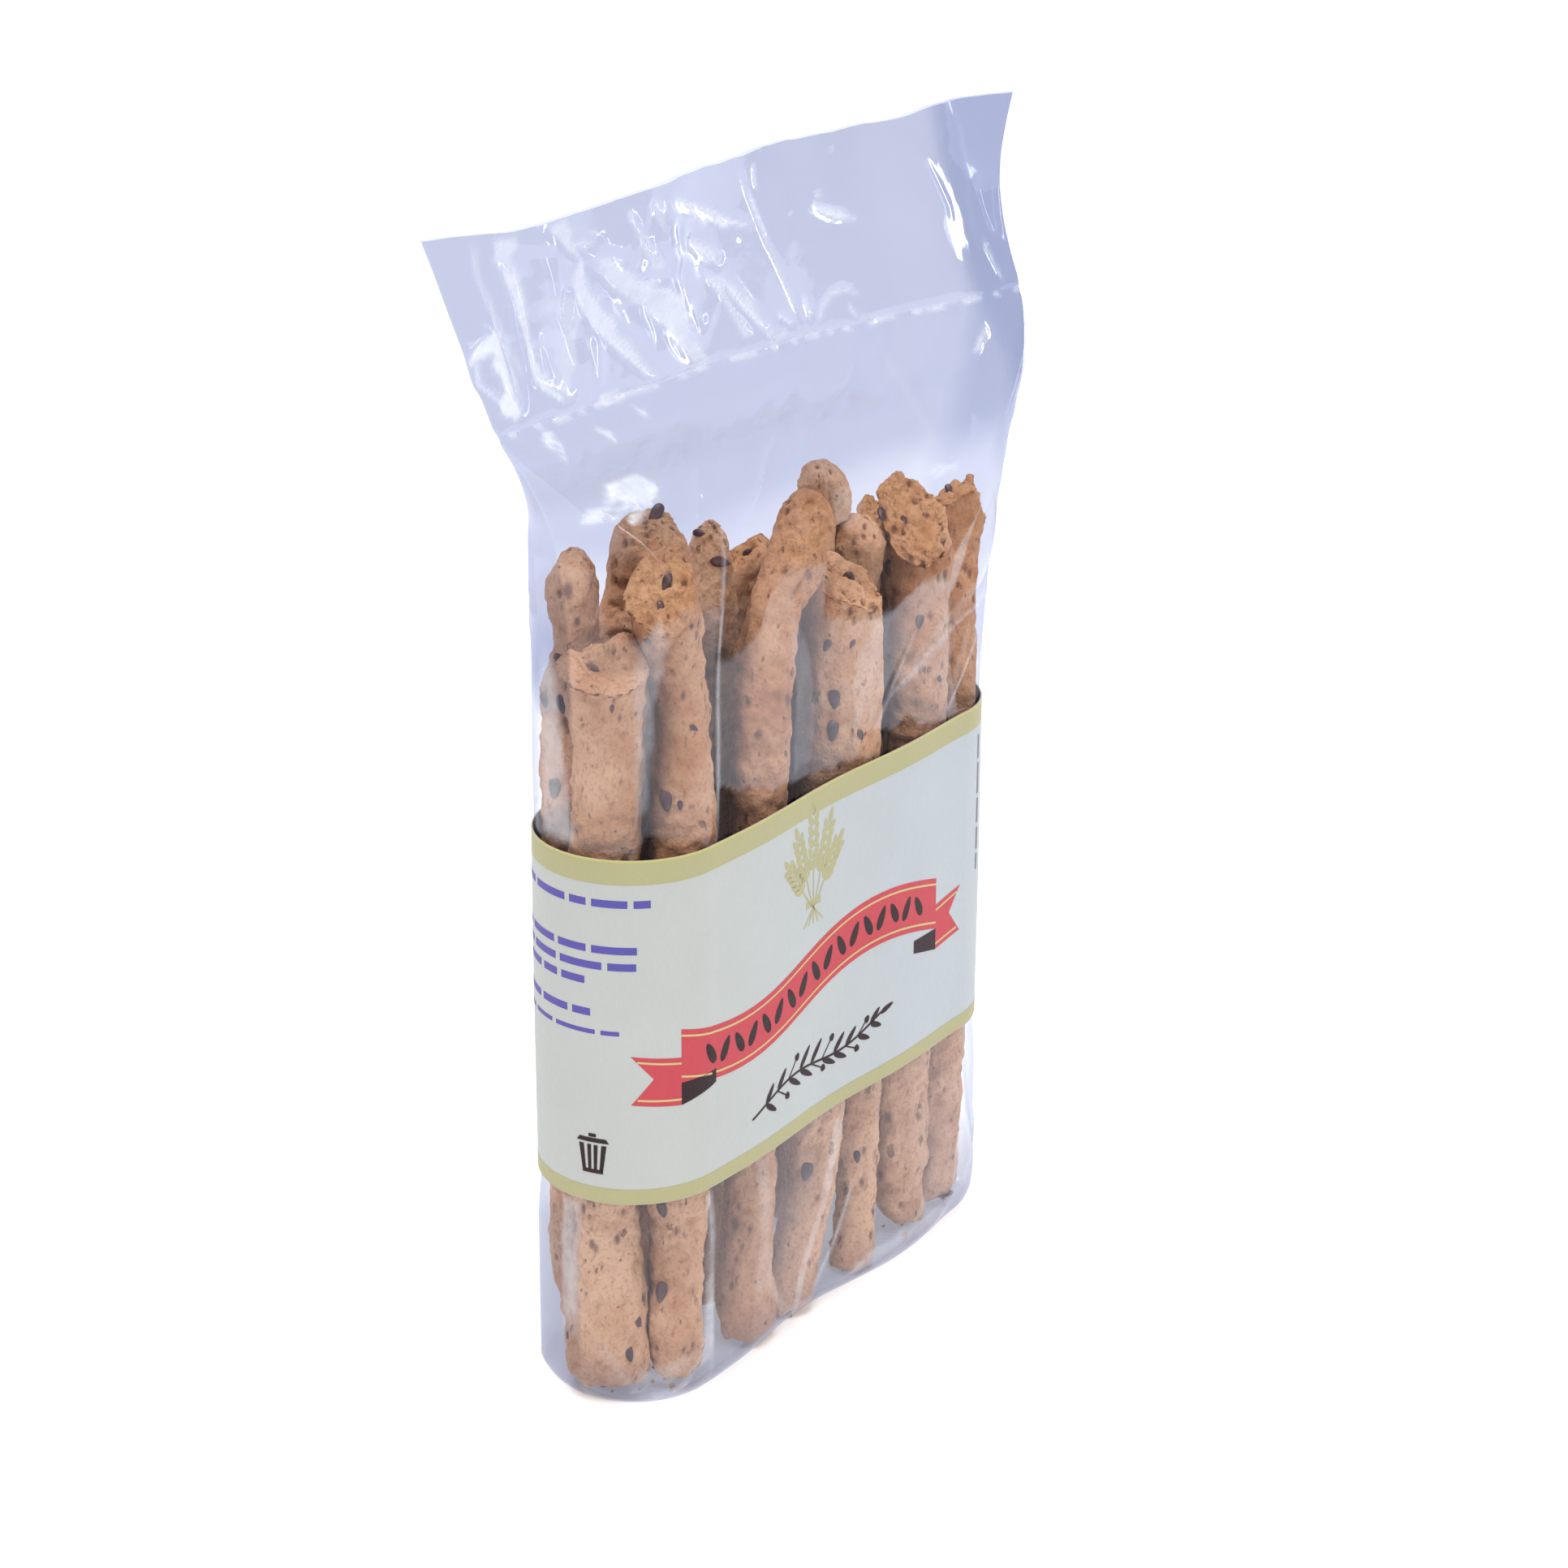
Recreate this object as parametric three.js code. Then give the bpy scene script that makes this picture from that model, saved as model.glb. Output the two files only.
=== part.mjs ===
// A sealed clear-film bag of breadsticks with a paper sleeve round its middle.
//
// The bag is a length of flat film tube, standing on a flat folded base. Two rows of breadsticks
// fill it out to a stadium section. Above them it closes like a tent to a crimped seal, and it ends
// in a loose skirt that leans back. It is widest where it is flattest, because the tube's girth
// stays the same. The bag is one closed solid out to the film, and the sleeve is a thin band
// with a little clearance.
//
// Millimetres, +Z up. The origin is the centre of the base. X runs across the wide front, and the
// front faces -Y. "along" is the share of the way across, from 0 at the left end to 1 at the right.
import * as THREE from "three";

const { lerp, smoothstep } = THREE.MathUtils;

// Driving dimensions
const TUBE_WIDTH = 153; // of the empty film tube, laid flat
const FOLDED_SLACK = 16; // girth that the filled body takes up in folds
const BODY_DEPTH = 36.4; // front to back, where the breadsticks fill the bag
const SEAL_HEIGHT = 196;
const FILM_THICKNESS = 1.2; // of the closed seal and the skirt, both layers with the air between
const BASE_RADIUS = 6; // of the bottom edge
const BASE_BULGE = 0.7; // how far the film below the sleeve stands out past the film under it
const SLEEVE_BOTTOM = 45;
const SLEEVE_HEIGHT = 70;
const SLEEVE_THICKNESS = 0.5;
const SLEEVE_CLEARANCE = 0.3;
const CLOSING_HEIGHT = 168; // where the folded slack starts to open out
const SEAL_OFFSET = 2.5; // the seal's middle lies this far to the right

// Waves of the film: how far each reaches from its middle, and how many fit across a panel
const BASE_SWAY = 1.8; // the base's left half lies this far back, and its right half forward
const PANEL_WAVE = 0.6; // the wide panels bulge over the breadsticks behind them
const PANEL_WAVES = 1.53;
const FRONT_CREST = 0.125; // share along of a crest of the front panel
const BACK_CREST = 0.3; // and of the back one
const SEAL_PUCKER = 0.5;
const SEAL_PUCKERS = 5.3;
const SKIRT_WAVE = 1.2; // half way up the skirt
const SKIRT_WAVES = 3.4;
const RIGHT_CURL = 4; // how far the skirt's right edge bows back

// Each narrow end up to the seal: height, share of the body's radius, and shift front to back
const LEFT_END = [
  [160, 1, 0],
  [172, 0.8, 0],
  [182, 0.45, 0],
  [190, 0.18, 2.2],
  [SEAL_HEIGHT, 0, 6],
];
const RIGHT_END = [
  [122, 1, 0],
  [150, 0.9, -2.5],
  [168, 0.62, -6.5],
  [183, 0.28, -9.3],
  [SEAL_HEIGHT, 0, -7.5],
];
// The seal's rise above its height, against "along"
const SEAL_RISE = [
  [0, -0.8],
  [0.45, 1],
  [1, -2.6],
];
// The skirt's top edge against "along": its shift front to back and its height
const SKIRT_TOP = [
  [0, 22, 228.2],
  [0.08, 12, 229.2],
  [0.2, 6.5, 230.9],
  [0.35, 4.5, 232.6],
  [0.55, 6, 232.8],
  [0.83, 6, 231],
  [0.93, 3.5, 232],
  [1, -4, 233],
];

// How finely the surface is divided
const END_STEPS = 14; // round each narrow end
const SIDE_STEPS = 34; // along each wide side
const BASE_STEPS = 6;
const BODY_STEPS = 8;
const SHOULDER_STEPS = 13;
const SKIRT_STEPS = 8;
const SLEEVE_STEPS = 5;

const bodyRadius = BODY_DEPTH / 2;
const sealRadius = FILM_THICKNESS / 2;
const shoulderHeight = RIGHT_END[0][0];

// A smooth function through the given column of a table whose first column rises.
function through(table, column = 1) {
  const curve = new THREE.CubicInterpolant(
    table.map((row) => row[0]),
    table.map((row) => row[column]),
    1,
  );
  return (position) => curve.evaluate(position)[0];
}

const leftFill = through(LEFT_END);
const leftShift = through(LEFT_END, 2);
const rightFill = through(RIGHT_END);
const rightShift = through(RIGHT_END, 2);
const sealRise = through(SEAL_RISE);
const skirtTopShift = through(SKIRT_TOP);
const skirtTopHeight = through(SKIRT_TOP, 2);

// How far the rounded bottom edge is set in at height z.
function baseInset(z) {
  if (z >= BASE_RADIUS) return 0;
  return BASE_RADIUS - Math.sqrt(BASE_RADIUS ** 2 - (BASE_RADIUS - z) ** 2);
}

// How far one end's circle lies from the section's middle: a quarter of the film's free girth,
// less the quarter turn round the circle. Folds take up some of the girth until they open out.
function endSpacing(radius, closed) {
  const girth = 2 * TUBE_WIDTH - FOLDED_SLACK * (1 - closed);
  return girth / 4 - (Math.PI / 2) * radius;
}

// The section at a height up to the seal is the outline round two circles, one at each narrow
// end, set apart by what they leave of the film's girth.
function sectionAt(z) {
  const outwards =
    BASE_BULGE * (1 - smoothstep(z, SLEEVE_BOTTOM - 12, SLEEVE_BOTTOM)) - baseInset(z);
  const leftRadius = lerp(sealRadius, bodyRadius, leftFill(z));
  const rightRadius = lerp(sealRadius, bodyRadius, rightFill(z));
  const closed = smoothstep(z, CLOSING_HEIGHT, SEAL_HEIGHT);
  const middle = SEAL_OFFSET * closed;
  return {
    left: new THREE.Vector2(middle - endSpacing(leftRadius, closed), leftShift(z)),
    right: new THREE.Vector2(middle + endSpacing(rightRadius, closed), rightShift(z)),
    leftRadius: leftRadius + outwards,
    rightRadius: rightRadius + outwards,
  };
}

// A wave across a panel, from -1 to 1, with a crest at `crest` along. It dies out at both ends.
function wave(along, waves, crest) {
  const window = Math.sqrt(Math.sin(Math.PI * along));
  return window * Math.cos(2 * Math.PI * waves * (along - crest));
}

// The bulge of a wide panel, outwards.
function panelBulge(along, z, crest) {
  const filled = 1 - smoothstep(z, shoulderHeight, SEAL_HEIGHT);
  return PANEL_WAVE * filled * wave(along, PANEL_WAVES, crest);
}

// A point of the outline at a height up to the seal, with the base's sway, and with the seal's
// own rise and small puckers.
function bodyPoint(plan, along, z) {
  const nearBase = 1 - smoothstep(z, 0, SLEEVE_BOTTOM);
  const nearSeal = smoothstep(z, shoulderHeight, SEAL_HEIGHT) ** 2;
  const sway = BASE_SWAY * nearBase * wave(along, 1, 0.3);
  const pucker = SEAL_PUCKER * nearSeal * wave(along, SEAL_PUCKERS, 0);
  return new THREE.Vector3(plan.x, plan.y + sway + pucker, z + sealRise(along) * nearSeal);
}

// A point of the skirt, `up` of the way along the film from the point below it on the seal.
function skirtPoint(sealPoint, along, up) {
  const lean = skirtTopShift(along) - lerp(leftShift(SEAL_HEIGHT), rightShift(SEAL_HEIGHT), along);
  const curl = RIGHT_CURL * smoothstep(along, 0.85, 1) + SKIRT_WAVE * wave(along, SKIRT_WAVES, 0.1);
  return new THREE.Vector3(
    sealPoint.x,
    sealPoint.y + lean * up + curl * Math.sin(Math.PI * up),
    lerp(sealPoint.z, skirtTopHeight(along), up),
  );
}

// The closed outline at height z, standing off the film by `offset`, as points with their share
// along, counter-clockwise from the front left: front panel, right end, back panel, left end.
function outlineAt(z, offset) {
  const { left, right, leftRadius, rightRadius } = sectionAt(z);
  const axis = right.clone().sub(left);
  const halfArc = Math.acos((leftRadius - rightRadius) / axis.length());
  const points = [];
  const add = (along, angle, bulge) => {
    const outward = new THREE.Vector2(Math.cos(angle), Math.sin(angle));
    const radius = lerp(leftRadius, rightRadius, along) + offset + bulge;
    const plan = left.clone().lerp(right, along).addScaledVector(outward, radius);
    points.push({ along, point: bodyPoint(plan, along, z) });
  };
  const addPanel = (startsLeft, angle, crest) => {
    for (let i = 0; i < SIDE_STEPS; i++) {
      const along = startsLeft ? i / SIDE_STEPS : 1 - i / SIDE_STEPS;
      add(along, angle, panelBulge(along, z, crest));
    }
  };
  const addEnd = (along, from, sweep) => {
    for (let i = 0; i < END_STEPS; i++) add(along, from + (sweep * i) / END_STEPS, 0);
  };
  addPanel(true, axis.angle() - halfArc, FRONT_CREST);
  addEnd(1, axis.angle() - halfArc, 2 * halfArc);
  addPanel(false, axis.angle() + halfArc, BACK_CREST);
  addEnd(0, axis.angle() + halfArc, 2 * (Math.PI - halfArc));
  return points;
}

// count + 1 values from one to another.
function steps(from, to, count) {
  return Array.from({ length: count + 1 }, (_, i) => lerp(from, to, i / count));
}

// Triangles between two rings of points, facing out when the second ring is above the first.
function joinRings(first, second, size) {
  const triangles = [];
  for (let i = 0; i < size; i++) {
    const next = (i + 1) % size;
    triangles.push(first + i, first + next, second + next);
    triangles.push(first + i, second + next, second + i);
  }
  return triangles;
}

// Closes a ring, facing down: strips from its front panel to its back one, and a fan at each end.
function capRing(first) {
  const front = (i) => first + i;
  const back = (i) => first + ((2 * SIDE_STEPS + END_STEPS - i) % (2 * (SIDE_STEPS + END_STEPS)));
  const triangles = [];
  for (let i = 0; i < SIDE_STEPS; i++) {
    triangles.push(front(i), back(i), front(i + 1));
    triangles.push(front(i + 1), back(i), back(i + 1));
  }
  for (let i = 0; i < END_STEPS - 1; i++) {
    const right = front(SIDE_STEPS);
    const left = back(0);
    triangles.push(right + i, right + END_STEPS, right + i + 1);
    triangles.push(left + i, front(0), left + i + 1);
  }
  return triangles;
}

function meshOf(name, points, triangles, material) {
  const geometry = new THREE.BufferGeometry().setFromPoints(points);
  geometry.setIndex(triangles);
  geometry.computeVertexNormals();
  const mesh = new THREE.Mesh(geometry, material);
  mesh.name = name;
  return mesh;
}

function bag() {
  const levels = [
    ...steps(0, Math.PI / 2, BASE_STEPS).map((turn) => BASE_RADIUS * (1 - Math.cos(turn))),
    ...steps(BASE_RADIUS, shoulderHeight, BODY_STEPS).slice(1),
    ...steps(shoulderHeight, SEAL_HEIGHT, SHOULDER_STEPS).slice(1),
  ];
  const seal = outlineAt(SEAL_HEIGHT, 0);
  const rings = [
    ...levels.map((z) => outlineAt(z, 0).map(({ point }) => point)),
    ...steps(0, 1, SKIRT_STEPS)
      .slice(1)
      .map((up) => seal.map(({ along, point }) => skirtPoint(point, along, up))),
  ];
  const size = seal.length;
  const triangles = [...capRing(0), ...capRing((rings.length - 1) * size).reverse()];
  for (let i = 0; i < rings.length - 1; i++) {
    triangles.push(...joinRings(i * size, (i + 1) * size, size));
  }
  const film = new THREE.MeshStandardMaterial({
    color: 0xd5d9ec,
    roughness: 0.12,
    transparent: true,
    opacity: 0.5,
  });
  return meshOf("bag", rings.flat(), triangles, film);
}

function sleeve() {
  const levels = steps(SLEEVE_BOTTOM, SLEEVE_BOTTOM + SLEEVE_HEIGHT, SLEEVE_STEPS);
  const face = (offset) => levels.map((z) => outlineAt(z, offset).map(({ point }) => point));
  // Up the outside and down the inside, back to where it began
  const rings = [
    ...face(SLEEVE_CLEARANCE + SLEEVE_THICKNESS),
    ...face(SLEEVE_CLEARANCE).reverse(),
  ];
  const size = rings[0].length;
  const triangles = rings.flatMap((_, i) =>
    joinRings(i * size, ((i + 1) % rings.length) * size, size),
  );
  const paper = new THREE.MeshStandardMaterial({ color: 0xe3ebe2, roughness: 0.75 });
  return meshOf("sleeve", rings.flat(), triangles, paper);
}

const pack = new THREE.Group();
pack.add(bag(), sleeve());

export default pack;
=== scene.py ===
"""Looks of the bag of breadsticks: clear film, breadsticks with flax seeds, and a paper sleeve.

Sizes are millimetres in the part's frame, and become metres where a mesh is made. The film and the
sleeve follow the same section as the solids that they replace: the outline round two circles, one
at each narrow end, set apart by what they leave of the film's girth.
"""
import itertools
import math
from collections import namedtuple

import bmesh
import bpy
import numpy as np
from mathutils import Matrix, Vector
from mathutils.bvhtree import BVHTree


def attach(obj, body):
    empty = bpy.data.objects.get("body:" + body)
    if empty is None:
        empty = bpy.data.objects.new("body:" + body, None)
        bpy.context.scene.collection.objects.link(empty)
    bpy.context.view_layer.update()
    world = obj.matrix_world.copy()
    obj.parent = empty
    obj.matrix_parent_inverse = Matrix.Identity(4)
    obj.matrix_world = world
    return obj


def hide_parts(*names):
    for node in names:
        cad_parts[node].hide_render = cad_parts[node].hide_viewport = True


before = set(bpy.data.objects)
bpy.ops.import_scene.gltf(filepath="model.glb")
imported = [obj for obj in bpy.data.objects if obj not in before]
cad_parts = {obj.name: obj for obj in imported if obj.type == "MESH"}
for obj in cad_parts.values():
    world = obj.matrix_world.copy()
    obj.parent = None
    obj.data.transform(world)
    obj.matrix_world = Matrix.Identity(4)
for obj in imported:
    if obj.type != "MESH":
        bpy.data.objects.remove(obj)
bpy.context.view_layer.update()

MM = 0.001

# The camera, fitted to the sleeve's edges and the bag's outline
CAMERA_PLACE = (-585.0, -406.3, 385.0)
CAMERA_FORWARD = (0.7684, 0.5282, -0.3614)
CAMERA_ROLL = 0.00477
PHOTO_PIXELS = 1932
FOCAL_PIXELS = 4808
SENSOR_WIDTH = 36.0

# The film's driving dimensions, as in the solids
TUBE_WIDTH = 153
FOLDED_SLACK = 16
BODY_RADIUS = 18.2
SEAL_RADIUS = 0.6
SEAL_HEIGHT = 196
SKIRT_HEIGHT = 37
BASE_RADIUS = 6
BASE_BULGE = 0.7
BULGE_FADE = 12
SLEEVE_BOTTOM = 45
SLEEVE_TOP = 115
SHOULDER_HEIGHT = 122
CLOSING_HEIGHT = 168
SEAL_OFFSET = 2.5
BASE_SWAY = 1.8
PANEL_WAVE = 0.6
PANEL_WAVES = 1.53
FRONT_CREST = 0.125
BACK_CREST = 0.3
SEAL_PUCKER = 0.5
SEAL_PUCKERS = 5.3
SKIRT_WAVE = 1.2
SKIRT_WAVES = 3.4
RIGHT_CURL = 4
# Rows of height, how full the end is, and its shift in y
LEFT_END = [(160, 1, 0), (172, 0.8, 0), (182, 0.45, 0), (190, 0.18, 2.2), (196, 0, 6)]
RIGHT_END = [(122, 1, 0), (150, 0.9, -2.5), (168, 0.62, -6.5), (183, 0.28, -9.3), (196, 0, -7.5)]
# Rows of the share along the seal, then the rise, or the shift in y and the height
SEAL_RISE = [(0, -0.8), (0.45, 1), (1, -2.6)]
SKIRT_TOP = [(0, 22, 228.2), (0.08, 12, 229.2), (0.2, 6.5, 230.9), (0.35, 4.5, 232.6),
             (0.55, 6, 232.8), (0.83, 6, 231), (0.93, 3.5, 232), (1, -4, 233)]

PANEL_LENGTH = 2 * ((2 * TUBE_WIDTH - FOLDED_SLACK) / 4 - math.pi / 2 * BODY_RADIUS)
END_ARC = math.pi * BODY_RADIUS


# ---------------------------------------------------------------- numbers


def lerp(low, high, share):
    return low + (high - low) * share


def smoothstep(value, low, high):
    share = np.clip((value - low) / (high - low), 0, 1)
    return share * share * (3 - 2 * share)


def hump(value, rise, fall):
    """Up from 0 to 1 over the span `rise`, and down to 0 again over the span `fall`."""
    return smoothstep(value, *rise) * (1 - smoothstep(value, *fall))


def bell(value, width):
    return np.exp(-((value / width) ** 2))


def pairs(numbers):
    return list(zip(numbers[::2], numbers[1::2]))


def direction(degrees):
    return math.cos(math.radians(degrees)), math.sin(math.radians(degrees))


def through(table, column=1):
    """The smooth curve through a table's rows: each row's slope is the mean of those beside it."""
    rows = np.array(table, float)
    places, values = rows[:, 0], rows[:, column]
    secants = np.diff(values) / np.diff(places)
    slopes = np.concatenate((secants[:1], (secants[1:] + secants[:-1]) / 2, secants[-1:]))

    def evaluate(place):
        place = np.clip(place, places[0], places[-1])
        i = np.clip(np.searchsorted(places, place, side="right") - 1, 0, len(places) - 2)
        width = places[i + 1] - places[i]
        t = (place - places[i]) / width
        rise = 3 * t**2 - 2 * t**3
        slope_parts = (t**3 - 2 * t**2 + t) * slopes[i] + (t**3 - t**2) * slopes[i + 1]
        return lerp(values[i], values[i + 1], rise) + width * slope_parts

    return evaluate


class Noise:
    """Smooth random values from -1 to 1 in space, the same on every run."""

    CELLS = 32

    def __init__(self, seed):
        self.grid = np.random.default_rng(seed).uniform(-1, 1, (self.CELLS,) * 3)

    def at(self, points, size):
        """Values at points (..., 3), whose hills are about `size` across."""
        cell = np.floor(points / size).astype(int)
        part = points / size - cell
        part = part * part * (3 - 2 * part)
        total = np.zeros(points.shape[:-1])
        for corner in itertools.product((0, 1), repeat=3):
            weight = np.prod(np.where(corner, part, 1 - part), axis=-1)
            x, y, z = np.moveaxis((cell + corner) % self.CELLS, -1, 0)
            total += weight * self.grid[x, y, z]
        return total

    def layers(self, points, size, count=3):
        """Noise with finer and finer noise on it."""
        total = sum(self.at(points + 7.3 * i, size / 2**i) / 2**i for i in range(count))
        return total / (2 - 0.5 ** (count - 1))


# ---------------------------------------------------------------- the film's form

left_fill, left_shift = through(LEFT_END), through(LEFT_END, 2)
right_fill, right_shift = through(RIGHT_END), through(RIGHT_END, 2)
seal_rise = through(SEAL_RISE)
skirt_top_shift, skirt_top_height = through(SKIRT_TOP), through(SKIRT_TOP, 2)


def wave(along, waves, crest):
    window = np.sqrt(np.clip(np.sin(np.pi * along), 0, 1))
    return window * np.cos(2 * np.pi * waves * (along - crest))


def section(z):
    """The two circles at a height: left x, y and radius, and right x, y and radius."""
    reach = np.sqrt(np.clip(BASE_RADIUS**2 - (BASE_RADIUS - z) ** 2, 0, None))
    inset = np.where(z < BASE_RADIUS, BASE_RADIUS - reach, 0)
    bulge = BASE_BULGE * (1 - smoothstep(z, SLEEVE_BOTTOM - BULGE_FADE, SLEEVE_BOTTOM))
    closed = smoothstep(z, CLOSING_HEIGHT, SEAL_HEIGHT)
    girth = 2 * TUBE_WIDTH - FOLDED_SLACK * (1 - closed)
    left_radius = lerp(SEAL_RADIUS, BODY_RADIUS, left_fill(z))
    right_radius = lerp(SEAL_RADIUS, BODY_RADIUS, right_fill(z))
    middle = SEAL_OFFSET * closed
    left_x = middle - girth / 4 + math.pi / 2 * left_radius
    right_x = middle + girth / 4 - math.pi / 2 * right_radius
    left = (left_x, left_shift(z), left_radius + bulge - inset)
    right = (right_x, right_shift(z), right_radius + bulge - inset)
    return left, right


def base_sway(along, z):
    return BASE_SWAY * (1 - smoothstep(z, 0, SLEEVE_BOTTOM)) * wave(along, 1, 0.3)


def shell(turn, level, offset=0.0):
    """Points on the film and their outward directions in plan.

    turn runs 0 to 1 across the front from the left, to 2 round the right end, to 3 back across the
    back and to 4 round the left end. level is the height up to the seal, and above that the height
    that the flat skirt would have. offset stands off the film.
    """
    turn, level = np.broadcast_arrays(np.asarray(turn, float) % 4, np.asarray(level, float))
    z = np.minimum(level, SEAL_HEIGHT)
    (left_x, left_y, left_radius), (right_x, right_y, right_radius) = section(z)
    spacing = np.hypot(right_x - left_x, right_y - left_y)
    heading = np.arctan2(right_y - left_y, right_x - left_x)
    half_arc = np.arccos((left_radius - right_radius) / spacing)
    part = turn.astype(int)
    share = turn - part
    along = np.choose(part, [share, np.ones_like(share), 1 - share, np.zeros_like(share)])
    angle = heading + np.choose(part, [
        -half_arc,
        lerp(-half_arc, half_arc, share),
        half_arc,
        lerp(half_arc, 2 * np.pi - half_arc, share),
    ])
    crest = np.where(part == 0, FRONT_CREST, BACK_CREST)
    near_seal = smoothstep(z, SHOULDER_HEIGHT, SEAL_HEIGHT)
    bulge = PANEL_WAVE * (1 - near_seal) * wave(along, PANEL_WAVES, crest) * (part % 2 == 0)
    radius = lerp(left_radius, right_radius, along) + offset + bulge
    outward = np.stack((np.cos(angle), np.sin(angle), np.zeros_like(angle)), axis=-1)
    x = lerp(left_x, right_x, along) + radius * outward[..., 0]
    y = lerp(left_y, right_y, along) + radius * outward[..., 1] + base_sway(along, z)
    y = y + SEAL_PUCKER * near_seal**2 * wave(along, SEAL_PUCKERS, 0)
    z = z + seal_rise(along) * near_seal**2

    up = np.clip((level - SEAL_HEIGHT) / SKIRT_HEIGHT, 0, 1)
    seal_shift = lerp(left_shift(SEAL_HEIGHT), right_shift(SEAL_HEIGHT), along)
    curl = RIGHT_CURL * smoothstep(along, 0.85, 1) + SKIRT_WAVE * wave(along, SKIRT_WAVES, 0.1)
    y = y + (skirt_top_shift(along) - seal_shift) * up + curl * np.sin(np.pi * up)
    z = lerp(z, skirt_top_height(along), up)
    return np.stack((x, y, z), axis=-1), outward


def flat_place(turn, level):
    """Where a point lies on its half of the flat tube, from the middle, and if it is in front."""
    (left_x, _, left_radius), (right_x, _, right_radius) = section(np.minimum(level, SEAL_HEIGHT))
    half = (right_x - left_x) / 2
    part = turn.astype(int)
    share = turn - part
    from_edge = np.minimum(share, 1 - share) * math.pi
    across = np.choose(part, [
        lerp(-half, half, share),
        half + from_edge * right_radius,
        lerp(half, -half, share),
        -half - from_edge * left_radius,
    ])
    return across, (turn < 1.5) | (turn > 3.5)


def from_middle(points):
    """How far points are from the bag's middle plane, in x and y, and how far the film is."""
    z = np.clip(points[:, 2], 0.3, SEAL_HEIGHT)
    (left_x, left_y, left_radius), (right_x, right_y, right_radius) = section(z)
    ax, ay = right_x - left_x, right_y - left_y
    share = ((points[:, 0] - left_x) * ax + (points[:, 1] - left_y) * ay) / (ax**2 + ay**2)
    along = np.clip(share, 0, 1)
    dx = points[:, 0] - lerp(left_x, right_x, along)
    dy = points[:, 1] - lerp(left_y, right_y, along) - base_sway(along, z)
    return dx, dy, lerp(left_radius, right_radius, along)


def keep_inside(points, gap):
    """Moves points that are nearer than `gap` to the film in towards the bag's middle plane."""
    dx, dy, film = from_middle(points)
    distance = np.hypot(dx, dy)
    limit = np.maximum(film - gap, 0.1)
    shrink = np.where(distance > limit, limit / np.maximum(distance, 1e-6), 1)
    points[:, 0] += dx * (shrink - 1)
    points[:, 1] += dy * (shrink - 1)
    return points


def turns_round(front_steps, end_steps, back_steps):
    """The turns of the columns of a sheet that goes once round the bag."""
    steps = (front_steps, end_steps, back_steps, end_steps)
    return np.concatenate([part + np.arange(count) / count for part, count in enumerate(steps)])


# ---------------------------------------------------------------- meshes


def make_object(name, points, faces, material, slot, attributes=None):
    """A piece from points in mm. attributes maps a name to one number for each point."""
    mesh = bpy.data.meshes.new(name)
    mesh.from_pydata((np.asarray(points) * MM).tolist(), [], [list(face) for face in faces])
    for key, values in (attributes or {}).items():
        mesh.attributes.new(key, "FLOAT", "POINT").data.foreach_set("value", np.ravel(values))
    mesh.polygons.foreach_set("use_smooth", [True] * len(mesh.polygons))
    mesh.materials.append(material)
    piece = bpy.data.objects.new(name, mesh)
    bpy.context.scene.collection.objects.link(piece)
    if slot:
        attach(piece, "root")
    return piece


def grid_faces(rows, columns):
    """Quads between rows of points, each row a ring."""
    row, column = np.meshgrid(np.arange(rows - 1), np.arange(columns), indexing="ij")
    after = (column + 1) % columns
    corners = (row * columns + column, row * columns + after,
               (row + 1) * columns + after, (row + 1) * columns + column)
    return np.stack(corners, axis=-1).reshape(-1, 4)


def grid_normals(grid):
    """Unit normals of a grid of points (rows, columns, 3) whose rows are rings."""
    around = np.roll(grid, -1, axis=1) - np.roll(grid, 1, axis=1)
    normals = np.cross(around, np.gradient(grid, axis=0))
    return normals / np.maximum(np.linalg.norm(normals, axis=-1, keepdims=True), 1e-9)


def joined(shapes):
    """The points and faces of one mesh, from the (points, faces) of several."""
    starts = np.cumsum([0] + [len(points) for points, _ in shapes])
    faces = [faces + start for (_, faces), start in zip(shapes, starts)]
    return np.concatenate([points for points, _ in shapes]), np.concatenate(faces)


def merge_doubles(piece):
    """Joins points that coincide, as those of a ring that has shrunk to nothing do."""
    shape = bmesh.new()
    shape.from_mesh(piece.data)
    bmesh.ops.remove_doubles(shape, verts=shape.verts, dist=0.02 * MM)
    shape.to_mesh(piece.data)
    shape.free()


# ---------------------------------------------------------------- materials


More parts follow.
